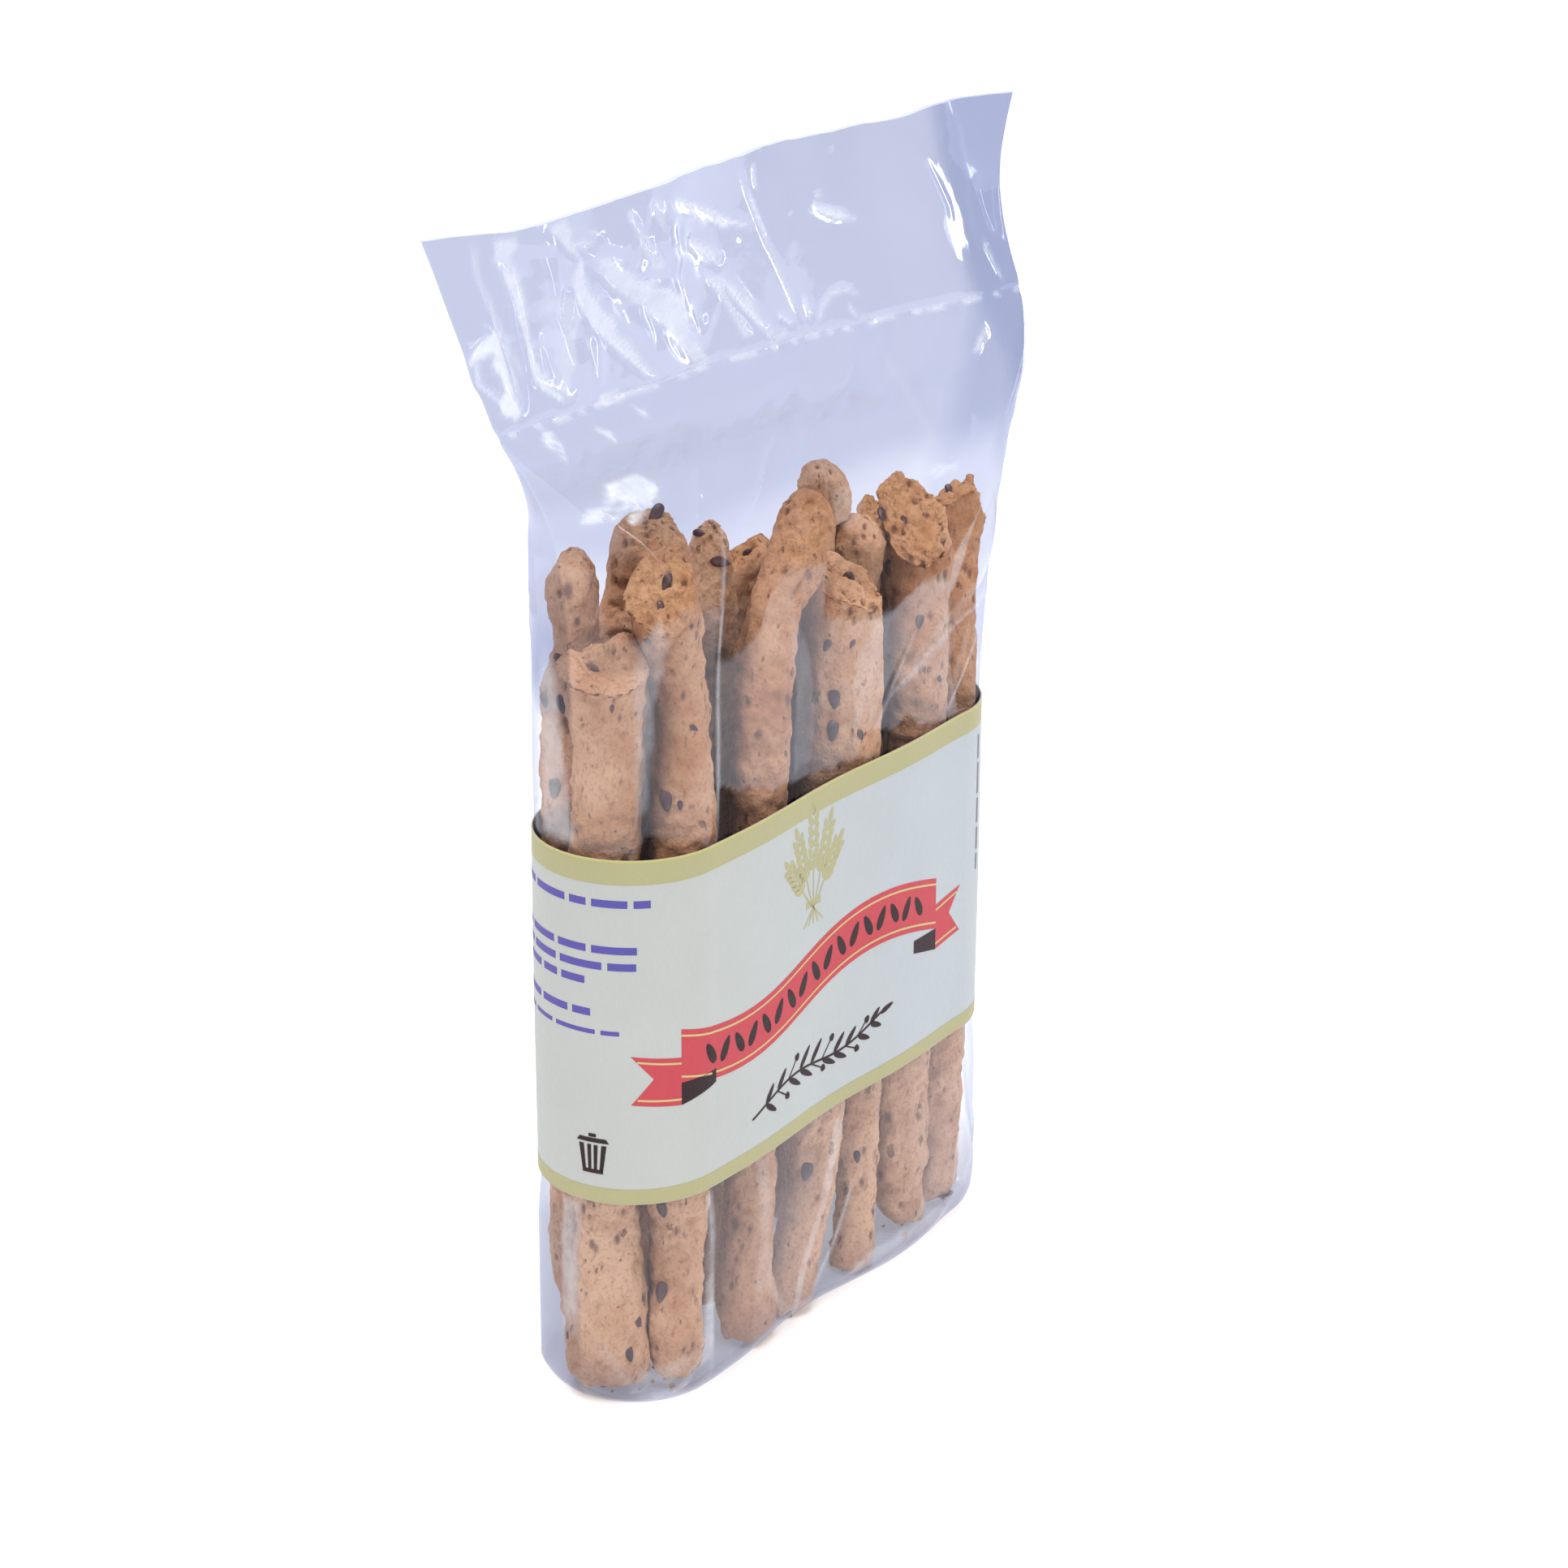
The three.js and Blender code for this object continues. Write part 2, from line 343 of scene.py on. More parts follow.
class Surface:
    """A material, built node by node. Sizes in it are millimetres."""

    def __init__(self, name):
        self.material = bpy.data.materials.new(name)
        self.material.use_nodes = True
        self.tree = self.material.node_tree
        self.tree.nodes.clear()
        self.place = self.node("TexCoord").outputs["Object"]

    def node(self, kind, inputs=None, **settings):
        node = self.tree.nodes.new("ShaderNode" + kind)
        for name, value in settings.items():
            setattr(node, name, value)
        for key, value in (inputs or {}).items():
            if isinstance(value, bpy.types.NodeSocket):
                self.tree.links.new(value, node.inputs[key])
            else:
                node.inputs[key].default_value = value
        return node

    def attribute(self, name):
        return self.node("Attribute", attribute_name=name).outputs["Fac"]

    def math(self, operation, first, second=0.0):
        return self.node("Math", {0: first, 1: second}, operation=operation).outputs[0]

    def times(self, first, second):
        return self.math("MULTIPLY", first, second)

    def stretched(self, stretch):
        return self.node("Mapping", {"Vector": self.place, "Scale": stretch}).outputs[0]

    def noise(self, size, detail=3.0, stretch=(1, 1, 1)):
        """Noise from 0 to 1 whose spots are about `size` across."""
        inputs = {"Vector": self.stretched(stretch), "Scale": 1 / (size * MM), "Detail": detail}
        return self.node("TexNoise", inputs).outputs["Fac"]

    def spots(self, size, radius):
        """1 in scattered round spots, one for each cell of `size`, and 0 elsewhere."""
        inputs = {"Vector": self.stretched((1, 1, 1)), "Scale": 1 / (size * MM)}
        distance = self.node("TexVoronoi", inputs).outputs["Distance"]
        return self.span(distance, radius / size, radius / size * 0.6)

    def span(self, value, start, end, low=0.0, high=1.0):
        """value from start to end, spread from low to high."""
        inputs = {0: value, 1: start, 2: end, 3: low, 4: high}
        return self.node("MapRange", inputs).outputs[0]

    def blend(self, share, first, second):
        """Between two colours, each an (r, g, b) or a socket."""
        first, second = (c if isinstance(c, bpy.types.NodeSocket) else (*c, 1)
                         for c in (first, second))
        inputs = {0: share, 6: first, 7: second}
        return self.node("Mix", inputs, data_type="RGBA").outputs[2]

    def bump(self, height, depth):
        """depth is the height of the relief in mm."""
        return self.node("Bump", {"Height": height, "Distance": depth * MM}).outputs[0]

    def shader(self, kind, inputs):
        return self.node(kind, inputs).outputs[0]

    def show(self, shader):
        self.node("OutputMaterial", {"Surface": shader})
        return self.material


FILM_CLEAR = (0.955, 0.955, 0.965)
FILM_LAVENDER = (0.45, 0.485, 0.635)
# White of the painted highlights and reflections on the film
PAINTED_HIGHLIGHT_WHITE = (0.90, 0.93, 0.99)
MIRRORED = (0.76, 0.79, 0.89)
LEAST_MIRROR = 0.065  # of a film seen straight on, both its faces together
MOST_MIRROR = 0.95
CLINGING_MIRROR = 0.15  # what the mirror keeps where the film clings to the bread
GRAZING_RISE = 3.9
EDGE_TINT = 0.65
FILM_ROUGHNESS = 0.07


def film_material():
    """Clear film: see-through, with a mirror's share that grows towards a flat angle of view.

    "haze" is how much of the mirror's share a place has, less where the film clings to the bread.
    "tint" deepens the lavender where it is loose, and "crest" paints white highlights and
    reflections on the folds and glares, a little of it the stress-whitening of sharp creases.
    """
    film = Surface("clear_film")
    facing = film.node("LayerWeight", {"Blend": 0.5}).outputs["Facing"]
    edge = film.span(facing, 0.5, 1.0, 0, EDGE_TINT)
    lavender = film.blend(film.math("MAXIMUM", film.attribute("tint"), edge),
                          FILM_CLEAR, FILM_LAVENDER)
    see_through = film.shader("BsdfTransparent", {"Color": lavender})
    # Painted highlights and reflections where "crest" is set, a little of it stress-whitening of
    # sharp creases
    white = film.shader("BsdfDiffuse", {"Color": (*PAINTED_HIGHLIGHT_WHITE, 1)})
    painted_highlight = film.times(film.attribute("crest"), film.span(film.noise(3.5), 0.3, 0.6, 0.6, 1))
    body = film.shader("MixShader", {0: painted_highlight, 1: see_through, 2: white})
    mirror = film.span(film.math("POWER", facing, GRAZING_RISE), 0, 1, LEAST_MIRROR, MOST_MIRROR)
    share = film.times(mirror, film.span(film.attribute("haze"), 0, 1, CLINGING_MIRROR, 1.0))
    gloss = film.shader("BsdfGlossy", {
        "Color": (*MIRRORED, 1),
        "Roughness": FILM_ROUGHNESS,
        "Normal": film.bump(film.noise(2.2, 2.0), 0.03),
    })
    seen = film.shader("MixShader", {0: share, 1: body, 2: gloss})

    # So thin a film hardly dims the light that falls through it
    path = film.node("LightPath").outputs
    light = film.math("MAXIMUM", path["Is Shadow Ray"], path["Is Diffuse Ray"])
    clear = film.shader("BsdfTransparent", {"Color": (*FILM_CLEAR, 1)})
    return film.show(film.shader("MixShader", {0: light, 1: seen, 2: clear}))


CRUST_PALE = (0.66, 0.405, 0.26)
CRUST_TAN = (0.455, 0.21, 0.098)
# Toasted crust, also the colour of the painted shade in the crust's hollows and deep tears
CRUST_TOASTED_AND_SHADED = (0.34, 0.125, 0.036)
CRUMB_GOLD = (0.61, 0.335, 0.165)
CRUMB_CELL = (0.33, 0.15, 0.06)
PORE_BROWN = (0.13, 0.05, 0.03)
# Painted shade between the breadsticks
PAINTED_CREVICE_SHADE = (0.10, 0.042, 0.022)
SUGAR_WHITE = (0.85, 0.72, 0.55)


def bread_material():
    """Baked crust: mottled tan, toasted in places, with pores, brown specks and golden breaks.

    "pale" is how pale a place is, "toast" how toasted, with painted shade in its hollows and deep
    tears,
    "crumb" how much it is broken, and "shade" the painted shade of how deep it lies between the
    others. "pit" marks bubbles.
    """
    bread = Surface("bread_crust")
    mottle = bread.span(bread.noise(9.0, 5.0), 0.36, 0.64, 0, 0.6)
    pale = bread.math("ADD", mottle, bread.attribute("pale"))
    colour = bread.blend(pale, CRUST_TAN, CRUST_PALE)
    crumb = bread.attribute("crumb")
    cells = bread.times(bread.span(bread.noise(1.6), 0.5, 0.62, 0, 0.6), crumb)
    colour = bread.blend(crumb, colour, bread.blend(cells, CRUMB_GOLD, CRUMB_CELL))
    # Toasting, with painted shade in the hollows and deep tears
    toast = bread.times(bread.attribute("toast"), bread.span(bread.noise(3.0), 0.25, 0.7, 0.4, 1))
    grain = bread.noise(0.7, 4.0)
    streaks = bread.span(bread.noise(1.3, 3.0, (1, 1, 0.4)), 0.6, 0.74, 0, 0.55)
    specks = bread.span(bread.noise(1.9, 4.0, (1, 1, 0.6)), 0.66, 0.72, 0, 0.75)
    sugar = bread.times(bread.spots(1.7, 0.16), bread.span(bread.noise(4.0), 0.5, 0.62, 0, 0.5))
    for share, over in (
        (toast, CRUST_TOASTED_AND_SHADED),
        (bread.span(grain, 0.5, 0.7, 0, 0.45), CRUST_TOASTED_AND_SHADED),
        (streaks, PORE_BROWN),
        (specks, PORE_BROWN),
        (bread.times(bread.attribute("pit"), 0.85), PORE_BROWN),
        (sugar, SUGAR_WHITE),
        # Painted shade, deeper between the breadsticks
        (bread.times(bread.attribute("shade"), 0.75), PAINTED_CREVICE_SHADE),
    ):
        colour = bread.blend(share, colour, over)
    holes = bread.math("MAXIMUM", specks, cells)
    pores = bread.bump(bread.math("SUBTRACT", 1.0, holes), 0.4)
    bread.tree.links.new(bread.bump(grain, 0.3), pores.node.inputs["Normal"])
    shader = bread.shader("BsdfPrincipled", {
        "Base Color": colour,
        "Roughness": bread.span(grain, 0.3, 0.7, 0.6, 0.85),
        "Specular IOR Level": 0.35,
        "Normal": pores,
    })
    return bread.show(shader)


SEED_DARK = (0.045, 0.02, 0.022)
SEED_RED_BROWN = (0.11, 0.05, 0.045)


def seed_material():
    """Flax seed: smooth, dark red-brown, with a soft gloss."""
    seed = Surface("flax_seed")
    mottle = seed.span(seed.noise(1.8, 2.0), 0.35, 0.65)
    shader = seed.shader("BsdfPrincipled", {
        "Base Color": seed.blend(mottle, SEED_DARK, SEED_RED_BROWN),
        "Roughness": seed.span(seed.noise(0.5), 0.3, 0.7, 0.3, 0.45),
        "Normal": seed.bump(seed.noise(0.35), 0.03),
    })
    return seed.show(shader)


# Across, where a print's colour turns from that of the left to that of the right: on the label
# paper a painted cast of greenish light on the left and bluish light on the right
PAINTED_LIGHT_SHIFT = (-55 * MM, 30 * MM)
PAPER_SHADE = 0.06


def print_material(name, left, right=None, gloss=0.4):
    """Paper or ink on paper: faint fibres and blotches, a dull sheen, and painted light across it.
    """
    paper = Surface(name)
    fibres = paper.noise(0.5, 4.0, (1, 1, 0.4))
    blotches = paper.span(paper.noise(14.0, 2.0), 0.3, 0.7, 0, 0.5)
    across = paper.node("SeparateXYZ", {0: paper.place}).outputs["X"]
    # Painted light: with two colours given, the colour shifts from the left's light to the right's
    colour = paper.blend(paper.span(across, *PAINTED_LIGHT_SHIFT), left, right or left)
    shade = paper.math("ADD", paper.times(paper.span(fibres, 0.3, 0.7), 0.5), blotches)
    shader = paper.shader("BsdfPrincipled", {
        "Base Color": paper.blend(shade, colour, paper.blend(PAPER_SHADE, colour, (0, 0, 0))),
        "Roughness": paper.span(fibres, 0.3, 0.7, 0.5, 0.62),
        "Specular IOR Level": gloss,
        "Normal": paper.bump(fibres, 0.015),
    })
    return paper.show(shader)


# ---------------------------------------------------------------- the film

FILM_FRONT_STEPS = 240
FILM_BACK_STEPS = 120
FILM_END_STEPS = 52
FILM_LEVEL_STEP = 0.85
FILM_LOW_STEP = 1.2
FILM_SEAL_STEP = 0.4
FILM_HIDDEN_STEP = 4.0

# Heights of the film's reliefs
SKIRT_RIPPLE = 0.35
SKIRT_PUFF = 0.22
SHOULDER_RIPPLE = 0.3
BODY_RIPPLE = 0.2
RIM_RIPPLE = 0.4
CRIMP_DEPTH = 0.46
CRIMP_RIB = 0.07
CRIMP_RIB_PITCH = 2.3
CRIMP_WAVER = 0.25
MOST_UNDER_SLEEVE = 0.15
BARE_FOLDS = 0.6  # share of their height that the folds keep away from the shoulders

# Ridges of the front. Each is its half width and height, how strong the painted highlight on its
# crest is, and a line of places on the flat film, as pairs of across from its middle and height
SKIRT_RIDGES = [
    (2.6, 1, 0.5, -66.7, 231, -64, 224, -64, 215, -63.8, 204, -57.5, 198),
    (1.8, 0.7, 0.3, -69.6, 232, -70.1, 225, -69, 216, -66.9, 205),
    (2.2, 0.8, 0.45, -69.5, 215, -74.4, 211, -75.6, 206, -70, 199),
    (1.6, 0.6, 0.35, -69, 214, -68.6, 207, -69.3, 200),
    (2.4, 0.8, 0.4, -57.3, 232, -52.4, 227, -47.2, 226),
    (2.8, 1.1, 0.6, -53.4, 221, -50.4, 214, -47.2, 210, -42.1, 204, -35.4, 197),
    (3.6, 0.8, 0.15, -60, 219, -62, 201),
    (2.2, 0.8, 0.35, -47.3, 223, -43.9, 217, -38.6, 216, -30.8, 216),
    (4.4, 1.3, 0.3, -41.4, 216, -30.4, 206, -20.5, 196),
    (1.4, 0.5, 0.3, -39.5, 230, -36.7, 224, -34, 220),
    (2.6, 0.7, 0.3, -32, 231, -30.3, 224),
    (1.9, 0.8, 0.6, -26.7, 229, -18.9, 226, -13.9, 224, -8.9, 221, -3.5, 219),
    (2.4, 0.9, 0.55, -22.9, 221, -17, 217, -12.7, 214),
    (1.5, 0.7, 0.45, -17.3, 213, -12, 206, -7.5, 199),
    (2.2, 0.9, 0.6, -13.1, 212, -8.4, 205, -3, 199),
    (1.2, 0.6, 0.2, -6.5, 231, -1.2, 216, 7.5, 199),
    (1.2, 0.5, 0.5, -1.4, 230, -1.7, 226),
    (1.3, 0.5, 0.5, -2.8, 199.5, -1.6, 197.5, 2.5, 198),
    (1.2, 0.5, 0.4, -0.1, 202, 4.8, 199),
    (1.2, 0.5, 0.5, 8.8, 204, 10.1, 199),
    (1.3, 0.5, 0.4, 12.2, 197.5, 14.3, 201, 17.5, 203, 21.1, 203.5, 25.8, 202),
    (1.2, 0.5, 0.5, 21, 200.5, 23.4, 197.4, 30, 196.5),
    (1.7, 0.7, 0.6, 15.9, 220, 21, 217.6, 28.2, 216),
    (0.9, 0.3, 0.4, 17, 222.3, 20.3, 221.2),
    (1.4, 0.1, 0.06, 67, 231, 68.6, 217, 67.6, 206),
    (1.3, 0.5, 0.45, 69.5, 206, 71.3, 198),
    (7, 0.3, 0, 38, 232, 41, 214, 36, 199),
    (4, -0.7, 0, -58, 229, -58.5, 214, -53, 200),
    (3, -0.8, 0, -29, 214, -22, 200),
]
SHOULDER_RIDGES = [
    (2.2, 0.8, 0.55, 59.8, 191, 55, 189.5, 51.2, 187.5),
    (1.5, 0.5, 0.5, -64.7, 194, -67.1, 190.5),
    (1.2, 0.4, 0.5, -54.4, 192.6, -53, 191),
    (0.9, 0.4, 0.5, -43.6, 193.8, -41.6, 192.3),
    (2.2, 0.8, 0.6, -69, 181.6, -64, 183.2, -58, 184.6),
    (1.6, 0.7, 0.6, -65.5, 180.9, -60, 182, -53, 183.4),
    (1.4, 0.6, 0.55, -58.5, 179.9, -54.1, 181.2, -50, 183.8),
    (1, 0.4, 0.4, 26.6, 168.8, 30, 169, 34.5, 168),
    (1.3, 0.6, 0.1, -12.7, 185, -22, 180, -29, 175.5, -36, 171),
    (1.8, 0.6, 0.06, -37.6, 185, -46.6, 176),
    (1.6, 0.5, 0.06, -37, 186, -14.2, 184),
    (3.5, 0.7, 0, -30, 192, -45, 176),
    (4.4, -0.25, 0, 8, 192, -2, 176),
    (5, 0.25, 0.05, 24, 192, 30, 172),
    (4, 0.2, 0, 44, 190, 40, 170),
    (1.3, 0.3, 0.3, -38.9, 174, -43.6, 160, -42.4, 137, -42.2, 115),
    (2.6, 0.9, 0.5, 59.7, 156, 52, 147, 44, 140),
    (1.5, 0.5, 0.28, 57, 139, 42, 136, 30, 133, 13, 126),
    (1.6, 0.5, 0.35, 47.5, 131, 42, 123, 36.3, 116.5),
    (1, 0.35, 0.16, 24, 140, 15, 128, 9, 119),
    (1, 0.3, 0.28, -73, 152, -72.8, 132, -72.5, 115),
]
BASE_RIDGES = [
    (1.1, 0.3, 0.45, -44.3, 44, -44.8, 24, -45.6, 4),
    (1.2, 0.3, 0, -72.6, 44, -72.8, 26, -70, 14),
    (1.6, 0.5, 0.16, -71, 18, -62, 5, -52, 3),
    (1.3, 0.4, 0.3, -46, 13, -52, 5, -60, 1.5),
    (2, 0.5, 0.1, -26, 16, -20, 7, -8, 3),
    (1.6, 0.5, 0.3, 4, 26, -2, 14, -9, 5),
    (1.8, 0.5, 0.16, 30, 14, 20, 6, 8, 3),
    (2.4, 0.7, 0.3, 58, 22, 46, 10, 30, 4),
    (2.4, 0.6, 0.25, 66, 34, 62, 18, 52, 6),
]

# Small folds at drawn places: how many, the heights between which they begin, their least and most
# half width, and their height
SKIRT_SMALL = (46, 198, 230, (1.6, 3.6), 0.45)
FRONT_SMALL = (16, 150, 180, (2.0, 5.0), 0.35)
BACK_SMALL = (44, 140, 184, (2.0, 6.0), 0.6)
# The half width of a crest's painted highlight as a share of its fold's, and the least one
CREST_SHARE = 0.45
LEAST_CREST = 0.8

# Broad painted reflections on the front, each how bright it is and its outline on the flat film
GLARES = [
    (0.85, -69.5, 215.4, -76, 210.7, -76.4, 209.4, -72, 210.8, -71.8, 207.4, -71.9, 203.4,
     -73.9, 199.9, -71.5, 198.1, -69.6, 199.1, -69.9, 205.4, -69.3, 210.9),
    (0.7, -67, 231.9, -64, 232.1, -64.6, 224.5, -63.5, 220.3, -63.9, 215.8, -62.9, 208.5,
     -62.2, 203.6, -58.4, 198.7, -60.3, 199.3, -63.4, 202.4, -64.5, 208.9, -65.4, 216.1,
     -66.3, 222.5, -67.1, 227.3),
    (0.25, -60.6, 218.5, -52.6, 217.2, -53.5, 213.1, -54.9, 210.3, -55.2, 206.5, -57.5, 202.4,
     -56.1, 198.9, -59, 200.5, -60.9, 204.9, -59.2, 208.3, -60.7, 215),
    (0.65, -56.5, 232.4, -54.2, 232.1, -52.1, 228.3, -50.8, 222.7, -50.2, 218.5, -47.4, 214,
     -43.3, 207.7, -35.2, 197, -37.4, 198.4, -44.4, 205, -49.6, 210.8, -49.8, 213.4, -52.5, 219.1,
     -52.8, 221.6, -51.5, 224.6, -55, 228.8),
    (0.5, -47.2, 223.4, -44.4, 223.1, -40.4, 218.6, -33.3, 214.6, -27.7, 211.5, -26.5, 208.3,
     -21.8, 200.5, -19.4, 196.4, -23.7, 197.4, -28.8, 202.3, -33.8, 208.7, -38, 212.6,
     -41.7, 214.4, -45, 218.7),
    (0.4, -37.3, 223.5, -35.7, 223.4, -31.8, 218.5, -34.3, 218.1, -36.2, 220.5),
    (0.7, -26.7, 228.7, -21.4, 227.5, -13.9, 223.7, -8.5, 220.8, -11, 220.4, -16.8, 223.1,
     -23, 225.9),
    (0.55, -22.9, 220.8, -15.5, 218, -12.6, 215.4, -15.9, 214.2, -17.8, 214.9, -20.1, 217.8),
    (0.45, -16.9, 212.4, -13.7, 211.8, -11.8, 207.6, -8.3, 200, -9.4, 199.4, -11.7, 202.9,
     -14.7, 208.1),
    (0.45, -11.7, 211.4, -7.2, 206, -2.9, 199.8, -2.9, 197.1, -4.3, 198.5, -8.4, 204.7, -12.4, 210),
    (0.3, -34.4, 230.7, -29.4, 229.4, -30.8, 224.4),
    (0.7, -50.4, 197.3, -48.1, 198, -43, 196.2, -44.9, 195.6, -49.6, 195.4),
    (0.7, 15.4, 220.8, 18.5, 219.8, 26.7, 217.4, 31.1, 215.8, 23.3, 216.6, 16.7, 218.8),
    (0.75, -66.6, 194.9, -64.7, 194.5, -67.5, 192.6, -68.1, 193.4),
    (0.6, -55.8, 193.2, -52.3, 192.5, -53.2, 191.4, -54.2, 192),
    (0.9, -69.7, 181, -68.2, 182.8, -65.6, 183.4, -65, 182.3, -66, 180.9),
    (0.9, -62.9, 184.5, -60.8, 185.8, -55.2, 185.7, -50.1, 183.7, -49.8, 182.8, -52, 181.9,
     -54.1, 181.4, -55.9, 182, -56.6, 180.7, -57, 179.3, -60.4, 179.2, -60.7, 179.8, -58, 181.1,
     -57.7, 182.2, -59.2, 183.2),
    (0.6, 23.7, 168.9, 30.5, 168.4, 37.5, 168, 34.4, 167.3, 27.7, 167.8),
    (0.4, -74.6, 154.9, -74.4, 155.5, -72.9, 138.9, -72.3, 118.4, -73.2, 119.3, -73.6, 134),
    (0.2, -61.2, 155.8, -58.8, 161, -55.6, 155.3, -57.1, 144.7, -58.3, 124.4, -60.2, 122.9,
     -59.9, 140.2),
    (0.12, -20.1, 152.7, -16.6, 148.6, -11.8, 141.9, -10, 126.9, -10.5, 121.4, -16.5, 120.8,
     -17, 137.8),
    (0.12, 11, 144.5, 15.4, 144.5, 25, 147.6, 33, 147.5, 32.7, 143.3, 24.6, 139.8, 17.4, 133.8,
     12.3, 127.7, 8.3, 121.5, 10.1, 129.3),
    (0.3, 34.9, 142.7, 36.1, 149.8, 43.2, 156, 44.4, 157.4, 42.2, 153.4, 38.8, 146.3, 36, 141.9),
    (0.12, 17.7, 130.2, 27.2, 134.4, 35.5, 137.9, 44, 141.4, 44.2, 139.3, 36.9, 133.6, 27.7, 129.3,
     19.9, 127.5),
    (0.15, 37.5, 117.8, 39.2, 125.1, 42.7, 131.8, 44.2, 134.3, 43.9, 129, 40.5, 122.3, 38.2, 116.4),
    (0.15, 2.7, 137.8, 7.7, 140.9, 9.2, 143.9, 11.1, 143.4, 10.9, 135.6, 8.6, 127.5, 3.8, 122.8),
    (0.12, -5.9, 172.3, -0.6, 170.4, 2.4, 164.5, -0.7, 163.7, -5.5, 166.3),
    (0.3, -1.5, 41.6, 1.2, 40.5, -3.6, 26.4, -7.9, 17, -13.3, 4.7, -15.3, 4.3, -12.8, 12.5,
     -6.5, 24.3, -3.7, 34.8),
    (0.15, -30.1, 45.2, -25.6, 43.4, -26.2, 26.6, -24.5, 15.4, -30.2, 15.6, -28.9, 27.8),
    (0.4, -45.3, 44, -43.8, 43.7, -45.1, 22.3, -46.3, 7.5, -47.4, 8, -46.3, 22.8),
    (0.3, 6.8, 7, 19.4, 8.6, 39.3, 7.3, 44.4, 7.3, 46.7, 4.1, 21.4, 6.2, 10.2, 5.1, 1.5, 3.8),
    (0.25, 42.9, 20.1, 45.6, 21.7, 46.8, 12.4, 44.4, 7.9, 39.3, 7.5, 41.8, 11.1),
    (0.2, -61.7, 8.4, -51.6, 11.2, -49.1, 11.5, -54.9, 6.4, -60.8, 5.7),
]

# Painted sheen stripes on the left end: the turns over which each rises and falls, how far the fall
# drifts for each mm below the level that follows, and the heights over which it rises and falls
SHEEN_STRIPES = [
    ((3.34, 3.38), (3.43, 3.45), 0.002, (116, 118), (148, 156)),
    ((3.425, 3.445), (3.49, 3.515), 0, (12, 24), (43, 45)),
]
SHEEN_STRIPE_LEVEL = 150
# How white the painted sheen stripes are
SHEEN_STRIPE_WHITE = 0.32
# How white the painted glints along the seal's crimp are
GLINT_TICK_WHITE = 0.4

# Where the mirror's share of the front rises above the sleeve, and falls again below the tips
HAZE_FROM = [
    -80, 115, -61, 116, -58, 120, -53.5, 118, -49.5, 117.2, -44, 115.3, -43.5, 126, -38, 124,
    -32, 122, -23, 119.2, -13.5, 119, -4, 117.2, 5.2, 117.3, 6.7, 122.5, 18, 119.5, 21.2, 121.1,
    26.7, 117.2, 39, 115, 46, 116.5, 60, 115,
]
HAZE_UP_TO = [
    -80, 172, -69, 171, -67.2, 158, -61, 157.3, -57.8, 159.3, -53.8, 161.5, -49.8, 162.7,
    -44.5, 162, -43.9, 149.7, -39.3, 149.6, -34.5, 150.5, -30.3, 152.4, -29.1, 157.5, -24.1, 161.3,
    -18.9, 160.7, -9.7, 158.8, -8.5, 149, 1, 146, 12.4, 143.5, 24.2, 147, 35, 145.5, 37.5, 126,
    41, 116, 62, 115,
]
BACK_HAZE = 0.45

# How deep the film's lavender is where it is loose, at its right end and where it is gathered
FRONT_TINT = 0.6
BACK_TINT = (0.84, 0.24)
# Painted shade: the back film is tinted deeper low down, which darkens the gaps between the sticks
BACK_LOW_SHADE_TINT = 0.55
SKIRT_EDGE_TINT = 0.1
RIGHT_END_TINT = (0.5, 0.85)
PLEAT_TINT = (0.64, 0.22)


def to_segment(across, level, start, end):
    """How far places are from a segment, and where on it the nearest point is, from 0 to 1."""
    (x0, y0), (x1, y1) = start, end
    along, up = x1 - x0, y1 - y0
    share = ((across - x0) * along + (level - y0) * up) / (along**2 + up**2)
    share = np.clip(share, 0, 1)
    return np.hypot(across - lerp(x0, x1, share), level - lerp(y0, y1, share)), share


def ridge(across, level, path, half_width):
    """A rounded fold along a line of places, 1 on its crest, which dies out at both ends."""
    nearest = np.full(level.shape, np.inf)
    ahead = np.zeros(level.shape)
    done = 0.0
    for start, end in zip(path, path[1:]):
        distance, share = to_segment(across, level, start, end)
        length = math.dist(start, end)
        nearer = distance < nearest
        nearest = np.where(nearer, distance, nearest)
        ahead = np.where(nearer, done + share * length, ahead)
        done += length
    fade = hump(ahead / done, (-0.05, 0.18), (0.82, 1.05))
    return fade * (1 + np.cos(np.pi * np.minimum(nearest / half_width, 1))) / 2


def glare(across, level, corners):
    """1 inside an outline on the flat film and 0 outside it, soft over its border."""
    nearest = np.full(level.shape, np.inf)
    inside = np.zeros(level.shape, bool)
    for start, end in zip(corners, corners[1:] + corners[:1]):
        nearest = np.minimum(nearest, to_segment(across, level, start, end)[0])
        (x0, y0), (x1, y1) = start, end
        if y0 != y1:
            crossing = x0 + (level - y0) * (x1 - x0) / (y1 - y0)
            inside ^= ((y0 > level) != (y1 > level)) & (across < crossing)
    return smoothstep(np.where(inside, nearest, -nearest), -0.5, 0.4)


def random_ridges(rng, count, low, high, widths, height):
    """Small folds, mostly upright, between two heights, in the form of the ridges above."""
    folds = []
    for _ in range(count):
        x, y = rng.uniform(-76, 76), rng.uniform(low, high)
        tilt = rng.normal(-0.35, 0.5)
        length = rng.uniform(5, 20)
        half_width = rng.uniform(*widths)
        rise = rng.uniform(0.3, 1) * rng.choice((-1, 1)) * height
        end = (x + length * math.sin(tilt), y + length * math.cos(tilt))
        folds.append((half_width, rise, 0, x, y, *end))
    return folds


def fold_sum(across, level, folds):
    """The sum of the folds' heights, and the strongest painted highlight of a crest at each place.
    """
    heights, crest = np.zeros(level.shape), np.zeros(level.shape)
    for half_width, height, white, *places in folds:
        heights += height * ridge(across, level, pairs(places), half_width)
        if white:
            narrow = max(half_width * CREST_SHARE, LEAST_CREST)
            crest = np.maximum(crest, white * ridge(across, level, pairs(places), narrow))
    return heights, crest


